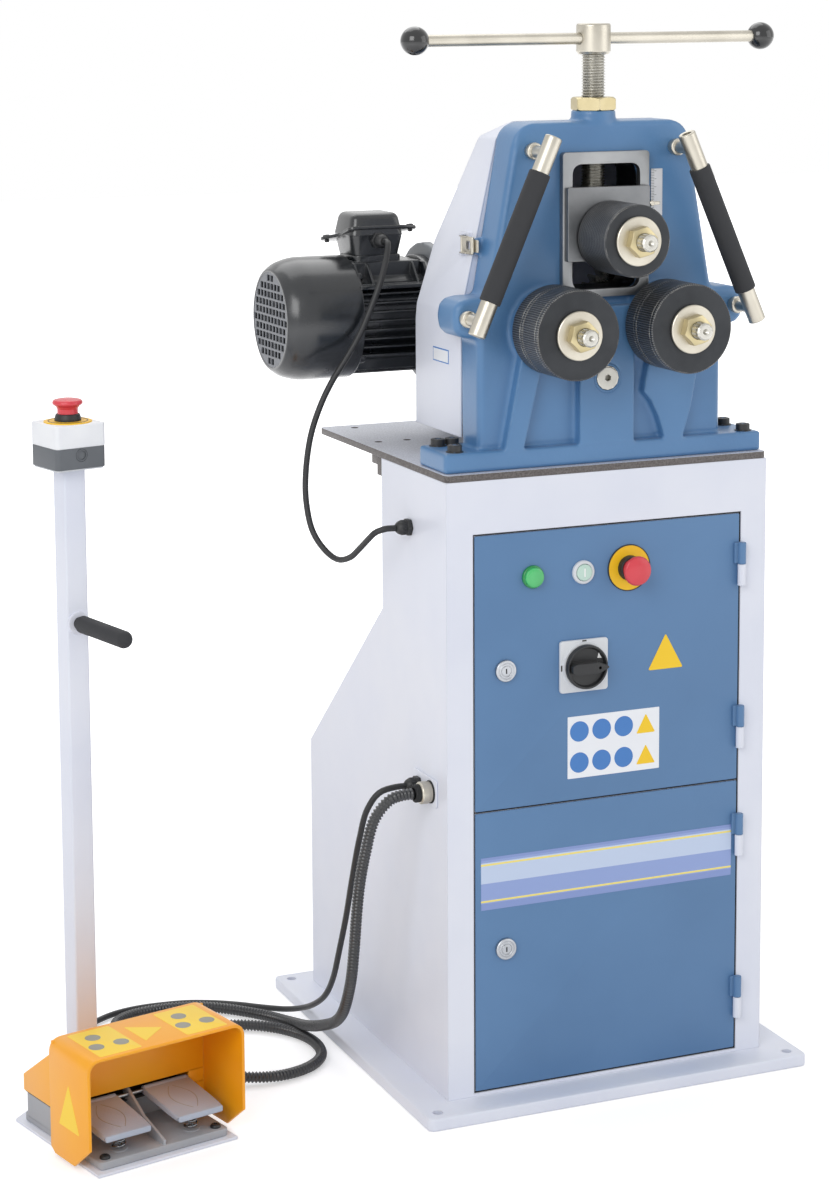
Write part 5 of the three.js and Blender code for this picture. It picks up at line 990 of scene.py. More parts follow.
def make_head():
    body = copy_solid("casting", "head_casting")
    arc = rounded([(60, 1243.9), (118, 1243.9, 28), (131.9, 1166)], 10)[1:-1] + [(100, 1215)]
    shoulders = [slab("shoulder", [(side * a, b) for a, b in arc], "y", 23.6, 77.9, edge=4)
                 for side in (-1, 1)]
    ring = [(15.4, 8), (50.4, 8, 2), (50.4, 30), (15.4, 30)]
    bosses = [turned("boss", ring, "y", (x, LOWER_Z), 96) for x in (-ROLLER_X, ROLLER_X)]
    seat = turned("seat", [(15.5, 1240), (27.8, 1240), (27.8, 1257, 1.5), (15.5, 1257)], "z", (0, SCREW_Y),
                  96)
    whole = join(body, *shoulders, *bosses, seat)
    back, over_foot = place(0, 78, 0).y, place(0, 0, 850).z
    choose(whole, "VERT", lambda v: abs(v.co.y - back) < 0.6 * MM and v.co.z > over_foot)
    bpy.ops.transform.translate(value=(0, 8 * MM, 0))
    mode("OBJECT")
    cast(whole, 2.1, 7)
    cut(whole, block("behind", (-240, 240), (77.9, 120), (843.5, 1300)))
    finish(whole, "frame", "cast_blue", "head_casting")
    # The faces inside the window get the dark steel as painted shade, since the deep window lies in shadow
    whole.data.materials.append(finishes["window_shade"][1])
    low, high = place(-47.9, 25, 1035.4), place(47.9, 79, 1192.6)
    for face in whole.data.polygons:
        if all(low[i] < face.center[i] < high[i] for i in range(3)):
            face.material_index = 1
    crown = [(0, 841.6), (9, 841.6), (9, 851, 0.9), (5.4, 851.6, 0.4), (0, 851.6)]
    heads = []
    for x, y in [(s * a, b) for s in (-1, 1) for a, b in ((203, 23), (203, 75), (184, 75))]:
        cap = turned("cap", crown, "z", (x, y), 40)
        socket = slab("socket", hexagon(8, x, y), "z", 846, 853)
        washer = turned("washer", [(0, 841.4), (11, 841.4), (11, 843, 0.4), (0, 843)], "z", (x, y), 40)
        heads += [cut(cap, socket), washer]
    finish(join(*heads), "frame", "black_plastic")


def make_guide():
    plate = block("guide_frame", (-60, 60), (13, 23), (1026, 1207), corner=5, along="y", edge=0.9)
    outline = rounded([(-47, 1036, 14), (47, 1036, 14), (47, 1192, 14), (-47, 1192, 14)], 8)
    finish(cut(plate, slab("slot", outline, "y", 5, 30)), "frame", "steel", "guide_plate")
    face = block("slide_face", (-57, 57), (5, 12.7), (1072, 1164), corner=2, along="y", edge=0.8)
    cut(face, rod("bore", 15.6, 0, 20, "y", (0, UPPER_Z), 48))
    body = copy_solid("slide_body", "slide_block")
    remove(body, "VERT", lambda v: v.co.y < place(0, 12.6, 0).y)
    tidy(body)
    finish(face, "slide", "slide", "slide_block")
    finish(body, "slide", "slide")
    scale = block("scale_strip", (67, 83), (21.9, 22.9), (1124, 1183), corner=0.5, along="y")
    finish(scale, "frame", "scale")
    arm = block("pointer", (55, 72), (7.5, 9.5), (1138.8, 1143.2), edge=0.4)
    profile = [(0, 4.6), (2.6, 4.6), (3.6, 5.4, 0.4), (3.6, 7.6), (0, 7.6)]
    screw = turned("pointer_screw", profile, "y", (60.5, 1141), 32)
    finish(join(arm, screw), "slide", "silver_zinc")


def make_nut(name, flats, turn, shell, bore, axis, centre, low, high):
    """A hexagon nut cut to its chamfered shell and bored."""
    nut = slab(name, hexagon(flats, *centre, turn), axis, low, high)
    cut(nut, turned("shell", shell, axis, centre, 64), operation="INTERSECT")
    return cut(nut, rod("bore", *bore, axis, centre, 64))


def make_clamp(side, x, z, front, body):
    """Washer, chamfered nut and centred shaft end on a roller."""
    a, tip = front - 0.3, front - 35
    washer = turned(side + "_washer", [
        (11.4, a), (29.4, a), (30.5, a - 1, 0.4), (30.5, a - 4, 0.6), (29.2, a - 5, 0.4), (11.4, a - 5),
    ], "y", (x, z), 96)
    finish(washer, body, side + "_washer", side + "_clamp_nut")
    shell = [(0, a - 18.2), (15.6, a - 18.2, 0.3), (20.4, a - 15.6), (20.4, a - 4), (0, a - 4)]
    nut = make_nut(side + "_hex_nut", 34, 0.26, shell, (11.25, a - 24, a), "y", (x, z), a - 18, a - 5.1)
    finish(nut, body, "zinc")
    thread = [(10.9 - 0.55 * (i % 2), a - 18.5 - 0.75 * i) for i in range(15)]
    end = turned(side + "_shaft_end", [
        (0, a - 6), (10.9, a - 6), *thread, (10.6, tip + 2.4, 0.3), (8.8, tip - 0.05, 0.4),
        (4.4, tip - 0.05, 0.3), (1.6, tip + 3.5), (1.6, tip + 9), (0, tip + 9),
    ], "y", (x, z))
    finish(end, body, "bright")


def make_rollers():
    for side, x in (("left", -ROLLER_X), ("right", ROLLER_X)):
        body = side + "_roller"
        for ring, low, high in (("rear", -25.6, 4.4), ("front", -67.6, -25.9)):
            piece = turned(f"{side}_{ring}_ring", [
                (15.3, low), (54.6, low, 0.5), (56, low + 1.6, 0.5), (56, low + 6, 0.2),
                (55, low + 6.8, 0.2),
                (56, low + 7.6, 0.2), (56, high - 1.6, 0.5), (54.6, high, 0.5), (15.3, high),
            ], "y", (x, LOWER_Z), 128)
            finish(piece, body, body, f"{side}_roller_{ring}")
        make_clamp(side, x, LOWER_Z, -67.6, body)
    grooves = [(45 - 0.5 * (i % 2), -68 + 2.2 * i, 0.2) for i in range(31)]
    upper = turned("upper_ring", [
        (15.3, -71), (43.6, -71, 0.5), (45, -69.4, 0.4), *grooves, (45, 1.4, 0.4), (43.6, 3, 0.5),
        (15.3, 3),
    ], "y", (0, UPPER_Z), 128)
    finish(upper, "upper_roller", "upper_roller", "upper_roller")
    make_clamp("upper", 0, UPPER_Z, -71, "upper_roller")


def make_screw():
    axis = (0, SCREW_Y)
    tooth = ((12.9, 1138.4), (12.9, 1138.9), (14.95, 1140.1), (14.95, 1140.6), (12.9, 1141.9))
    thread = draw("screw_thread", [own(r, 0, z) for r, z in tooth])
    mode("OBJECT")
    apply(thread, "SCREW", angle=2 * math.pi, screw_offset=3.5 * MM, iterations=53, steps=36,
          render_steps=36, axis="Z", use_merge_vertices=True, merge_threshold=0.02 * MM)
    stand(thread, Matrix.Translation(place(0, SCREW_Y, 0)))
    core = rod("core", 13.1, 1138.4, 1327, "z", axis, 48)
    finish(join(thread, core), "screw", "bright", "pressure_screw")
    hub = turned("screw_hub", [
        (0, 1326), (18.6, 1326), (21.5, 1329.6, 0.8), (21.5, 1362, 1), (20, 1364, 0.6), (6, 1364, 0.4),
        (4, 1362.6), (0, 1362.6),
    ], "z", axis, 96)
    bar = turned("cross_rod", [
        (0, -245), (6.6, -245), (7.3, -244, 0.3), (7.3, 244, 0.3), (6.6, 245), (0, 245),
    ], "x", (0, 0), 48, to=own)
    swing = Matrix.Translation(place(0, SCREW_Y, 1345.5)) @ Matrix.Rotation(math.radians(5.4), 4, "Z")
    cut(hub, stand(rod("bore", 7.5, -30, 30, "x", (0, 0), 48, to=own), swing))
    finish(hub, "screw", "silver_zinc")
    finish(stand(bar, swing), "screw", "silver_zinc", "cross_bar")
    ball_radius, ball_reach = 17.5, 253
    angles = [math.radians(i * 6) for i in range(5, 31)]
    round_end = [(max(ball_radius * math.sin(t), 0), -ball_radius * math.cos(t)) for t in angles]
    for side, name in ((-1, "left"), (1, "right")):
        profile = [(r, side * (ball_reach + h)) for r, h in [(0, -15.6), (7.6, -15.6), *round_end]]
        ball = turned(name + "_ball", profile, "x", (0, 0), 64, to=own)
        finish(stand(ball, swing), "screw", "ball", name + "_ball_knob")
    shell = [(0, 1256), (26, 1256), (28.9, 1258.6), (28.9, 1270.4), (25, 1273.2), (0, 1273.2)]
    nut = make_nut("screw_locknut", 50, 0.35, shell, (15.35, 1250, 1280), "z", axis, 1257, 1273)
    finish(nut, "frame", "zinc", "screw_nut")


def make_plug():
    profile = [(15.3, 11.4), (18.6, 11.4), (18.6, 8.2, 0.5), (17.4, 7.4, 0.5), (15.3, 7.8)]
    finish(turned("plug_seat", profile, "y", PINION), "frame", "cast_blue")
    profile = [(0, 20), (14.9, 20), (14.9, 7.4, 0.8), (13, 6.6, 0.4), (0, 6.6)]
    face = turned("plug_face", profile, "y", PINION)
    finish(cut(face, slab("socket", hexagon(8, *PINION, 0.4), "y", 2, 15)), "pinion", "plug")


def make_grabs():
    for side, name in ((-1, "left"), (1, "right")):
        top, low = place(side * 91, -25, 1229), place(side * 195, -25, 990)
        reach = (low - top).length / MM
        lean = Matrix.Translation(top) @ (low - top).to_track_quat("Z", "Y").to_matrix().to_4x4()
        bar = turned(name + "_bar", [
            (0, 6), (6, 6), (6, 0.8), (9.6, 0, 0.8), (11, 1.4, 0.6), (11, reach - 1.4, 0.6),
            (9.6, reach, 0.8), (6, reach), (6, reach - 6), (0, reach - 6),
        ], "z", (0, 0), to=own)
        finish(stand(bar, lean), "frame", "silver_zinc", name + "_grab_bar")
        start, end = 0.18 * reach, 0.83 * reach
        sleeve = turned(name + "_sleeve", [
            (11.3, start), (13, start, 0.6), (13.5, start + 1.6, 0.6), (13.5, end - 1.6, 0.6),
            (13, end, 0.6), (11.3, end),
        ], "z", (0, 0), to=own)
        finish(stand(sleeve, lean), "frame", "grip", name + "_grip")
        for i, share in enumerate((0.08, 0.93)):
            spot = top.lerp(low, share)
            stub = turned(f"{name}_stub_{i}", [
                (0, -24), (7.5, -24), (7.5, 8, 0.4), (10.5, 9, 1.5), (11, 15, 2), (9, 22.6, 1), (0, 22.9),
            ], "y", (spot.x / MM, spot.z / MM), 48)
            finish(stub, "frame", "silver_zinc")


make_head()
make_guide()
make_rollers()
make_screw()
make_plug()
make_grabs()


# Cover, gearbox and motor


def make_cover():
    shell = copy_solid("cover_shell", "rear_cover")
    cut(shell, rod("hole", 47.6, 200, 240, "y", PINION, 96))
    bevel(shell, 0.8, 3, 12)
    finish(shell, "frame", "white", "rear_cover")
    edge = [(116, 1221), (121.8, 1221.5), (163.7, 1031), (169.2, 1006.8), (150, 1006.8), (150, 1031)]
    strips = [slab("strip", [(side * a, b) for a, b in edge], "y", 78.5, 80.3) for side in (-1, 1)]
    finish(join(*strips), "frame", "white", name="cover_lip")
    rim = block("cover_card_rim", (-170.35, -169.9), (115, 164), (938, 956), edge=0.1)
    finish(rim, "frame", "label_blue")
    card = block("cover_card", (-170.5, -170.2), (116.6, 162.4), (939.6, 954.4), edge=0.05)
    finish(card, "frame", "label_white")


def make_latches():
    """A folded toggle with a window in it, and the hook on the casting."""
    for side, name in ((-1, "left_latch"), (1, "right_latch")):
        x = side * 156.6
        thin, deep = sorted((x - side * 1.2, x + side * 1.2)), sorted((x - side * 1.2, x + side * 3.6))
        leaf = block("leaf", thin, (68, 103), (1080, 1102), corner=2.5, along="x", edge=0.4)
        cut(leaf, block("window", (x - 6, x + 6), (76, 88), (1085.5, 1096.5), corner=2, along="x"))
        folds = [block("fold", deep, (84, 104), (z, z + 1.3), edge=0.3) for z in (1080, 1100.7)]
        profile = [(0, 1079.2), (2.3, 1079.2, 0.4), (2.3, 1102.8, 0.4), (0, 1102.8)]
        pin = turned("pin", profile, "z", (x, 102), 24)
        bead = [(0, 1081), (2.2, 1081, 0.5), (2.2, 1101, 0.5), (0, 1101)]
        roll = turned("roll", bead, "z", (x + side * 0.4, 69.5), 24)
        finish(join(leaf, *folds, pin, roll), name, "silver_zinc", name, name=name + "_toggle")
        wide = sorted((x - side * 3.4, x - side * 1.7))
        hook = block(name + "_hook", wide, (58, 70), (1083, 1099), corner=2, along="x", edge=0.3)
        finish(hook, "frame", "silver_zinc")


def make_gearbox():
    case = copy_solid("gear_case", "gearbox")
    cast(case, 2.2, 5)
    cut(case, rod("bore", 14.2, 205, 305, "y", PINION))
    finish(case, "frame", "drive", "gearbox")
    heads = []
    bolt_circle = 84
    for turn in (0.785, 2.356, 3.927, 5.498):
        spot = (MOTOR_Y + bolt_circle * math.cos(turn), MOTOR_Z + bolt_circle * math.sin(turn))
        heads.append(slab("head", hexagon(15, *spot), "x", -93.8, -85.5, edge=0.8))
    for x in (-38, 38):
        for y in (305, 385):
            heads.append(slab("head", hexagon(15, x, y), "z", 839, 847, edge=0.8))
    finish(join(*heads), "frame", "silver_zinc", name="gearbox_bolts")


def make_motor():
    y, z = centre = (MOTOR_Y, MOTOR_Z)
    core = rod("motor_frame", 66, -248, -118, "x", centre, 96)
    fins = []
    fin_pitch, fin_half, fin_reach = 11.6, 1.3, 77.5
    for i in range(-4, 5):
        away = i * fin_pitch
        low, high = away - fin_half, away + fin_half
        reach = math.sqrt(fin_reach**2 - (abs(away) + 1.4) ** 2)
        fins.append(block("fin", (-226, -119), (y - reach, y + reach), (z + low, z + high), edge=0.9))
        if abs(i) < 4:
            fins.append(block("fin", (-226, -119), (y + low, y + high), (z - reach, z + 50), edge=0.9))
    flange = [(40, -121), (77.8, -121, 1.5), (77.8, -108.2, 1.5), (40, -108.2)]
    shield = turned("shield", flange, "x", centre, 96)
    pad = block("pad", (-222, -125), (y - 36, y + 36), (z + 50, z + 74), corner=4, edge=2)
    neck = block("neck", (-216, -150), (y - 31, y + 31), (z + 70, z + 82.6), corner=8, edge=1.5)
    ledges = [block("ledge", (-224, -119), (y + a, y + a + 30), (z + 41, z + 46.5), edge=1.2)
              for a in (-70, 40)]
    webs = []
    for a, b in ((-64, -36), (36, 64)):
        outline = [(y + a, z + 44), (y + b, z + 44), (y + b * 0.62, z + 72), (y + a * 0.62, z + 72)]
        webs += [slab("web", outline, "x", x, x + 3.2, edge=0.6) for x in (-222, -204, -140, -124)]
    lugs = [
        turned("lug", [(0, x), (7, x, 1), (7, x + 12, 1), (0, x + 12)], "x", (y + a, z + b), 32)
        for x in (-226, -122) for a, b in ((-44, 56), (44, 56), (-52, -50), (52, -50))
    ]
    body = join(core, *fins, shield, pad, neck, *ledges, *webs, *lugs)
    finish(body, "frame", "gloss_black", "motor_body")
    screws = []
    for x, high in ((-228.5, 5), (-116.5, 4)):
        profile = [(0, x - high), (4, x - high, 1.6), (5, x - high + 2.4, 0.8), (5, x + 4), (0, x + 4)]
        screws += [turned("screw", profile, "x", (y + a, z + 56), 32) for a in (-44, 44)]
    finish(join(*screws), "frame", "black_plastic", name="motor_screws")


def make_cowl():
    y, z = centre = (MOTOR_Y, MOTOR_Z)
    cup = turned("cowl_cup", [
        (63, -325), (66.5, -325, 3), (75, -315, 10), (81.5, -294, 18), (81.5, -223.4, 0.8),
        (80.6, -222, 0.4), (78.9, -222), (78.9, -293.5, 18), (72.8, -313, 10), (65.6, -322, 2), (63, -322),
    ], "x", centre, 96)
    finish(cup, "frame", "gloss_black", "fan_cowl")
    disc = rod("fan_grille", 63.3, -324.6, -322.6, "x", centre, 96)
    slots = []
    open_radius, row_pitch, slot_pitch = 61.5, 11, 12.5
    for row in range(-5, 6):
        half = math.sqrt(open_radius**2 - (abs(row) * row_pitch + 4) ** 2)
        count = math.floor((2 * half + 2.4) / slot_pitch)
        for i in range(count):
            a, b = y + (i - (count - 1) / 2) * slot_pitch, z + row * row_pitch
            slots.append(block("slot", (-327, -320), (a - 5, a + 5), (b - 4.1, b + 4.1)))
    finish(cut(disc, join(*slots)), "frame", "grille")
    blades = [rod("fan_disc", 60, -312, -310.6, "x", centre, 48)]
    blade_count = 22
    for i in range(blade_count):
        turn = i * 2 * math.pi / blade_count
        tilt = Matrix.Translation(place(-316, y, z)) @ Matrix.Rotation(turn, 4, "X")
        blades.append(stand(block("blade", (-4, 6), (-1, 1), (18, 60), edge=0.3, to=own), tilt))
    finish(join(*blades), "frame", "seal", name="cooling_fan")


def make_terminal_box():
    x, y, low = -185, MOTOR_Y, 1060.5
    outline = rounded([(x + a, y + b, 13) for a, b in ((-38, -35), (38, -35), (38, 35), (-38, 35))])
    foot = slab("foot", outline, "z", low, low + 27)
    shrink(foot, lambda v: v.co.z < (low + 1) * MM, (0.86, 0.86, 1), place(x, y, low))
    lid = slab("junction_box", outline, "z", low + 26.5, low + 55)
    top = (low + 54) * MM
    shrink(lid, lambda v: v.co.z > top, (0.86, 0.82, 1), place(x, y, low + 55))
    ease_edges(lid, lambda e: all(lid.data.vertices[v].co.z > top for v in e.vertices), 8, 5)
    finish(join(lid, foot), "frame", "gloss_black", "terminal_box")
    rim = [
        (-40.5, -37.5, 9), (36, -37.5, 6), (57.5, -31, 5), (57.5, -20, 5), (40.5, -4, 8), (40.5, 37.5, 9),
        (-36, 37.5, 6), (-57.5, 31, 5), (-57.5, 20, 5), (-40.5, 4, 8),
    ]
    tilt = Matrix.Translation(place(x, y, low + 26.5)) @ Matrix.Rotation(math.radians(-16.35), 4, "X")
    flange = stand(slab("lid_flange", rounded(rim), "z", -2, 2.2, edge=0.9, to=own), tilt)
    finish(flange, "frame", "gloss_black")
    screws = [
        turned("screw", profile, "z", (side * 49.5, side * -26), 32, to=own)
        for side in (-1, 1)
        for profile in ([(0, 1), (5, 1), (5, 4.6, 1.2), (0, 5.4)], [(0, -5), (3, -5, 0.8), (3, 0), (0, 0)])
    ]
    finish(stand(join(*screws), tilt), "frame", "black_plastic")


def make_gland(name, axis, wall, tip, at, flats, radius, bore, *stands_for, to=place):
    """A screwed gland: hexagon at the wall and a ribbed cap with a domed end."""
    way = 1 if tip > wall else -1
    grip = wall + way * 6
    nut = slab("nut", hexagon(flats, *at), axis, min(wall, grip), max(wall, grip), edge=0.7, to=to)
    dome = [
        (radius * math.cos(t) * 0.55 + bore * 0.45 + 1,
         tip - way * 5 * (1 - math.sin(t))) for t in (0.5, 1.0, 1.45)
    ]
    profile = [(bore, grip - way), (radius, grip - way), (radius, tip - way * 6, 1), *dome, (bore, tip)]
    cap = turned("cap", profile, axis, at, 48, to=to)
    low, high = sorted((grip + way * 1.2, tip - way * 7))
    ridge = [(0, low), (0.75, low, 0.4), (0.75, high, 0.4), (0, high)]
    ribs = []
    for a, b in circle(radius - 0.1, *at, 20):
        ribs.append(turned("rib", ridge, axis, (a, b), 8, to))
    finish(join(nut, cap, *ribs), "frame", "black_plastic", *stands_for, to=to, name=name)


def make_glands():
    make_gland("box_gland", "y", 311, 290.2, (-185, 1079.9), 20, 9, 4.3)
    make_gland("wall_gland", "x", -225.3, -245.1, (113, 734.3), 20, 9, 4.3, "motor_cable_gland")
    make_gland("stop_cable_gland", "x", -227.2, -246.8, (84, 407), 20, 9, 4.3)
    plate = block("entry_plate_face", (-227.3, -225.2), (29, 102), (389, 425), corner=4, along="x",
                  edge=0.7)
    finish(plate, "frame", "white", "conduit_gland")
    entry = (47, 407)
    turn_pieces("x", (
        ("conduit_seal", entry, 64, [(8, -227), (14.6, -227), (14.6, -229, 0.5), (8, -229)], "frame",
         "seal"),
        ("conduit_ferrule", entry, 64, [
            (8, -229), (13.2, -229), (13.2, -232), (14.2, -232.6, 0.4), (14.2, -242, 0.8),
            (12.6, -243.4, 0.5), (8, -243.4)], "frame", "silver_zinc"),
        ("conduit_cuff", entry, 64, [
            (7.6, -243), (11.4, -243), (11.4, -249, 1), (10.4, -250.2, 0.6), (7.6, -250.2)], "frame",
            "seal"),
    ))
    make_gland("base_conduit_gland", "x", 188.2, 203.9, (160, 26), 27, 11.5, 7.7, to=own)
    make_gland("post_cable_gland", "y", 237.1, 252.9, (102, 24), 17, 8, 4.3, to=own)


make_cover()
make_latches()
make_gearbox()
make_motor()
make_cowl()
make_terminal_box()
make_glands()


# Foot console


def make_pedal_base():
    outline = [(0, 0), (196, 0), (196, 212), (140, 246), (56, 246), (0, 212)]
    plate = slab("console_sheet", outline, "z", 0, 4, 0.6, own)
    finish(plate, "frame", "white", "console_plate", to=own)
    floor = block("floor", (8, 188), (8, 204), (4.3, 14.3), corner=6, edge=1.4, to=own)
    rear = block("rear", (8, 188), (108, 198), (10, 42.3), corner=5, edge=1.4, to=own)
    web = [(10, 13), (10, 20.3), (59, 35), (102, 60.3), (109, 60.3), (109, 13)]
    rib = slab("rib", web, "x", 96, 100, 0.8, own)
    ear = [(90, 12), (90, 47, 5), (96, 58, 6), (103, 47, 5), (109, 12)]
    lugs = [slab("lug", ear, "x", u, u + 3, 0.6, own) for u in (11.5, 181.5)]
    disc = [(0, 13), (11, 13), (11, 15.2, 0.8), (0, 15.2)]
    seats = [turned("seat", disc, "z", (u, SPRING_V), 40, own) for u in PEDALS.values()]
    pin = rod("pedal_rod", 2.6, 12, 184, "x", HINGE, 24, own)
    casting = join(floor, rear, rib, *lugs, *seats)
    finish(casting, "frame", "cast_grey", "pedal_base", to=own, name="console_casting")
    finish(pin, "frame", "steel", to=own)
    cap = [(0, 14), (6.6, 14), (6.6, 16.2, 0.8), (5, 18.2, 1), (2.4, 18.4), (2.4, 16.6), (0, 16.6)]
    heads = [turned("head", cap, "z", (u, 20), 40, own) for u in (20, 176)]
    finish(join(*heads), "frame", "black_plastic", to=own, name="console_screws")
    gasket = block("hood_gasket", (8.6, 187.4), (97, 203.4), (42.2, 43.2), corner=4, edge=0.2, to=own)
    finish(gasket, "frame", "seal", to=own)


def make_pedals():
    for side, u in PEDALS.items():
        name = side + "_pedal"
        outline = [(8, 37.2, 2), (8, 45, 1.5), (96, 55, 4), (100, 51, 3), (96, 46.6, 3)]
        body = slab("tread", outline, "x", u - 32, u + 32, to=own)
        spots = [v.co.copy() for v in body.data.vertices]

        def is_front_side(edge):
            first, second = [spots[v] for v in edge.vertices]
            return first.y < 0.02 and second.y < 0.02 and abs(first.x - second.x) < 0.001

        ease_edges(body, is_front_side, 3, 4)
        bevel(body, 1.1, 3, 35)
        profile = [(2.9, u - 31), (5.6, u - 31, 0.6), (5.6, u + 31, 0.6), (2.9, u + 31)]
        bush = turned("bush", profile, "x", HINGE, 40, own)
        cup = rod("cup", 7.5, 38, 43, "z", (u, SPRING_V), 32, own)
        finish(join(body, bush, cup), name, "tread", name, to=own, name=name + "_tread")
        lines = []
        for way in (-1, 1):
            line = [(way * (2.5 + 12.5 * math.sin(math.pi * i / 12)), -30 + 5 * i) for i in range(13)]
            back = [(a + way * 1.0, b) for a, b in reversed(line)]
            lines.append(slab("leaf_line", line + back, "z", -0.5, 0.12, to=own))
        tilt = Matrix.Translation(own(u, 52, 50.05)) @ Matrix.Rotation(math.radians(6.5), 4, "X")
        finish(stand(join(*lines), tilt), name, "label_grey", to=own, name=name + "_leaf")


def make_springs():
    turns, steps, radius, low, high = 3.5, 28, 8, 15.9, 38.2
    for side, u in PEDALS.items():
        points = []
        for i in range(round(turns * steps) + 1):
            turn = 2 * math.pi * i / steps
            rise = low + (high - low) * i / (turns * steps)
            points.append(own(u + radius * math.cos(turn), SPRING_V + radius * math.sin(turn), rise))
        coil = make_wire(side + "_coil", points, 1.15 * MM, 3)
        only(coil)
        bpy.ops.object.convert(target="MESH")
        finish(coil, "frame", "spring", side + "_pedal_spring", to=own, smooth=80)
        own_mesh(coil)


def make_shield():
    outer = rounded([(-12, 5), (-12, 148, 18), (208, 148, 18), (208, 5)], 8)
    inner = rounded([(-8, 5), (-8, 144, 14), (204, 144, 14), (204, 5)], 8)
    arch = slab("arch", outer + inner[::-1], "y", 0, 97, to=own)
    corner = slab("corner", [(-4, 1), (44, 1), (-4, 39)], "x", -20, 220, to=own)
    rear_corner = slab("rear_corner", [(97.5, 1), (80, 1), (97.5, 12)], "x", -20, 220, to=own)
    cut(arch, corner, rear_corner)
    bevel(arch, 0.9, 3, 40)
    back = [
        block("back", u, (93, 97), z, edge=0.6, to=own)
        for u, z in (
            ((-9, 205), (60.8, 145)), ((-9, 13.8), (43, 63)), ((182.2, 205), (43, 63)),
            ((-9, 7.2), (14, 46)), ((188.8, 205), (14, 46)),
        )
    ]
    finish(join(arch, *back), "frame", "shield", "pedal_shield", to=own, name="shield_sheet")
    hood = slab("rear_hood", [(96.5, 43), (204, 43), (204, 64), (136, 110), (96.5, 128)], "x", 8, 188,
                to=own)
    remove(hood, "FACE", lambda f: f.normal.z < -0.9 or f.normal.y < -0.9)
    apply(hood, "SOLIDIFY", thickness=2.5 * MM, offset=-1)
    tidy(hood)
    bevel(hood, 0.8, 3, 20)
    finish(hood, "frame", "shield", to=own)


def make_patches():
    """Bright patches with plain grey discs on the shield's top, and thin plain shapes beside them."""
    patches, discs = [], []
    for left, right in ((9, 67), (130, 188)):
        patches.append(block("patch", (left, right), (6, 90), (147.7, 148.2), corner=3, edge=0.05, to=own))
        for u, v in ((left + 23, 66), (left + 12, 37), (left + 45, 35)):
            discs.append(slab("dot", circle(9.6, u, v), "z", 147.9, 148.35, to=own))
    finish(join(*patches), "frame", "patch_yellow", to=own, name="shield_patches")
    finish(join(*discs), "frame", "label_grey", to=own, name="shield_dots")
    shape = slab("shape", [(80, 20, 2), (118, 47, 2), (80, 74, 2)], "z", 147.9, 148.2, to=own)
    side_shape = slab("shape", [(24, 48, 2), (74, 48, 2), (49, 104, 2)], "x", -12.2, -11.8, to=own)
    finish(join(shape, side_shape), "frame", "patch_yellow", to=own, name="shield_shapes")


def make_post():
    column = block("post_tube", (87, 117), (207, 237), (4.3, 822.6), corner=2.6, edge=0.4, to=own)
    finish(column, "frame", "white", "post", to=own)
    weld = block("post_weld", (85, 119), (205, 239), (3.8, 6.4), corner=4, edge=1.2, to=own)
    finish(weld, "frame", "white", to=own)
    arc = [(11 * math.sin(t), 82.9 + 11 - 11 * math.cos(t))
           for t in [math.radians(9 * i) for i in range(1, 10)]]
    grip = (102, 628)
    turn_pieces("y", (
        ("grip_boss", grip, 64, [(0, 207.4), (14.6, 207.4), (14.6, 204.4, 1), (0, 204.1)], "frame",
         "white"),
        ("post_sleeve", grip, 64, [(0, 82.9), *arc, (11, 196, 1.5), (8, 198, 0.6), (8, 203.9), (0, 203.9)],
         "frame", "grip", "post_grip"),
    ), own)


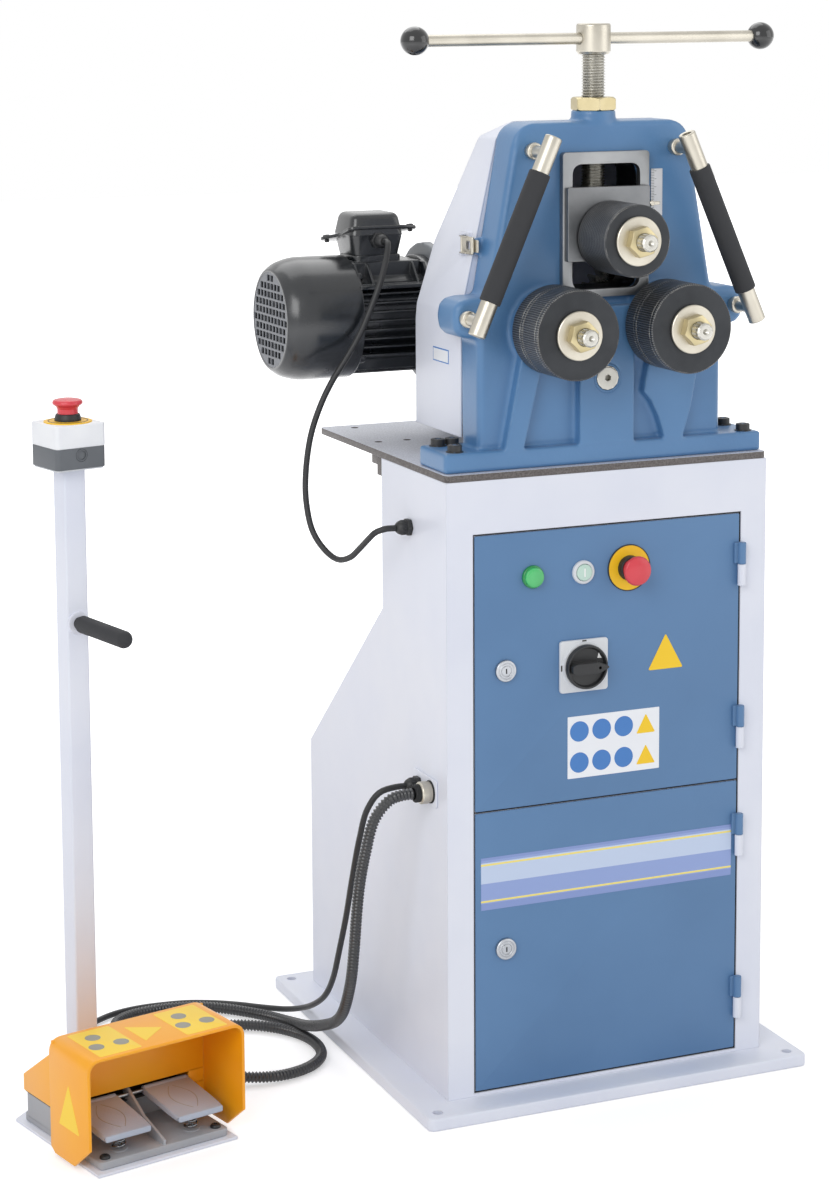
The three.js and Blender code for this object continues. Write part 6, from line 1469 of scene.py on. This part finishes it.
def make_post_box():
    upper = block("box_lid", (67, 137), (188, 256), (851, 879.9), corner=6, edge=1.6, to=own)
    finish(upper, "frame", "box_white", "post_box", to=own)
    lower = block("box_base", (67.4, 136.6), (188.4, 255.6), (825, 851.4), corner=6, edge=0.6, to=own)
    blank = (102, 841.9)
    finish(cut(lower, rod("hollow", 8, 186, 190, "y", blank, 48, own)), "frame", "box_grey", to=own)
    ring = turned("knockout", [(6, 189.9), (7.6, 189.9), (7.6, 188.3, 0.3), (6, 188.3)], "y", blank, 48,
                  own)
    finish(ring, "frame", "box_grey", to=own)
    lip = block("box_foot", (69, 135), (190, 254), (822.9, 825.4), corner=5, edge=0.5, to=own)
    finish(lip, "frame", "pale_grey", to=own)
    turn_pieces("z", (
        ("box_disc", POST, 72, [(14, 879.6), (30, 879.6), (30, 881.2, 0.4), (14, 881.4)], "frame",
         "yellow"),
        ("box_ring", POST, 72, [(24, 881), (25, 881), (25, 881.6), (24, 881.6)], "frame", "label_dark"),
        ("box_collar", POST, 64, [(13.4, 880), (16.6, 880), (16.6, 884, 0.6), (15, 889.6, 1),
                                  (13.4, 890.2)],
         "frame", "black_plastic"),
        ("box_mushroom", POST, 72, mushroom(861, 880, 1), "post_estop", "red", "post_estop"),
    ), own)


make_pedal_base()
make_pedals()
make_springs()
make_shield()
make_patches()
make_post()
make_post_box()


# Floor, lights and surroundings


def make_studio():
    clear()
    bpy.ops.mesh.primitive_plane_add(size=30, location=(0, 0, -0.0005))
    floor = bpy.context.object
    floor.name = "studio_floor"
    look = Look("Studio Floor")
    away = look.add("VectorMath", {0: look.coords()}, operation="LENGTH").outputs["Value"]
    look.feed(look.shader["Emission Color"], (1, 1, 1, 1))
    look.feed(look.shader["Emission Strength"],
              look.product(look.seen(), look.spread(away, 0.7, 3.0, 0.42, 1.1)))
    floor.data.materials.append(look.dress(linear("ececee"), 0.9))
    for name, spot, aim, size, power in (
        ("Key", (-3.3, -3.0, 3.0), (-0.1, 0, 0.7), 2.6, 84),
        ("Fill", (3.2, -2.6, 2.2), (0, 0, 0.7), 3.0, 34),
        ("Top", (0.0, 1.6, 3.8), (0, 0, 0.8), 3.0, 38),
    ):
        light = bpy.data.lights.new(name, "AREA")
        light.shape, light.size, light.energy = "SQUARE", size, power
        lamp = bpy.data.objects.new(name, light)
        bpy.context.scene.collection.objects.link(lamp)
        lamp.location = spot
        lamp.rotation_euler = (Vector(aim) - Vector(spot)).to_track_quat("-Z", "Y").to_euler()
    world = bpy.data.worlds.new("Studio")
    bpy.context.scene.world = world
    world.use_nodes = True
    graph = Graph(world.node_tree)
    ground = graph.tree.nodes["Background"].inputs
    graph.feed(ground["Color"], (1, 1, 1, 1))
    graph.feed(ground["Strength"], graph.spread(graph.seen(), 0.0, 1.0, 0.56, 1.0))


make_studio()
bpy.context.scene.view_settings.view_transform = "Standard"

clear()
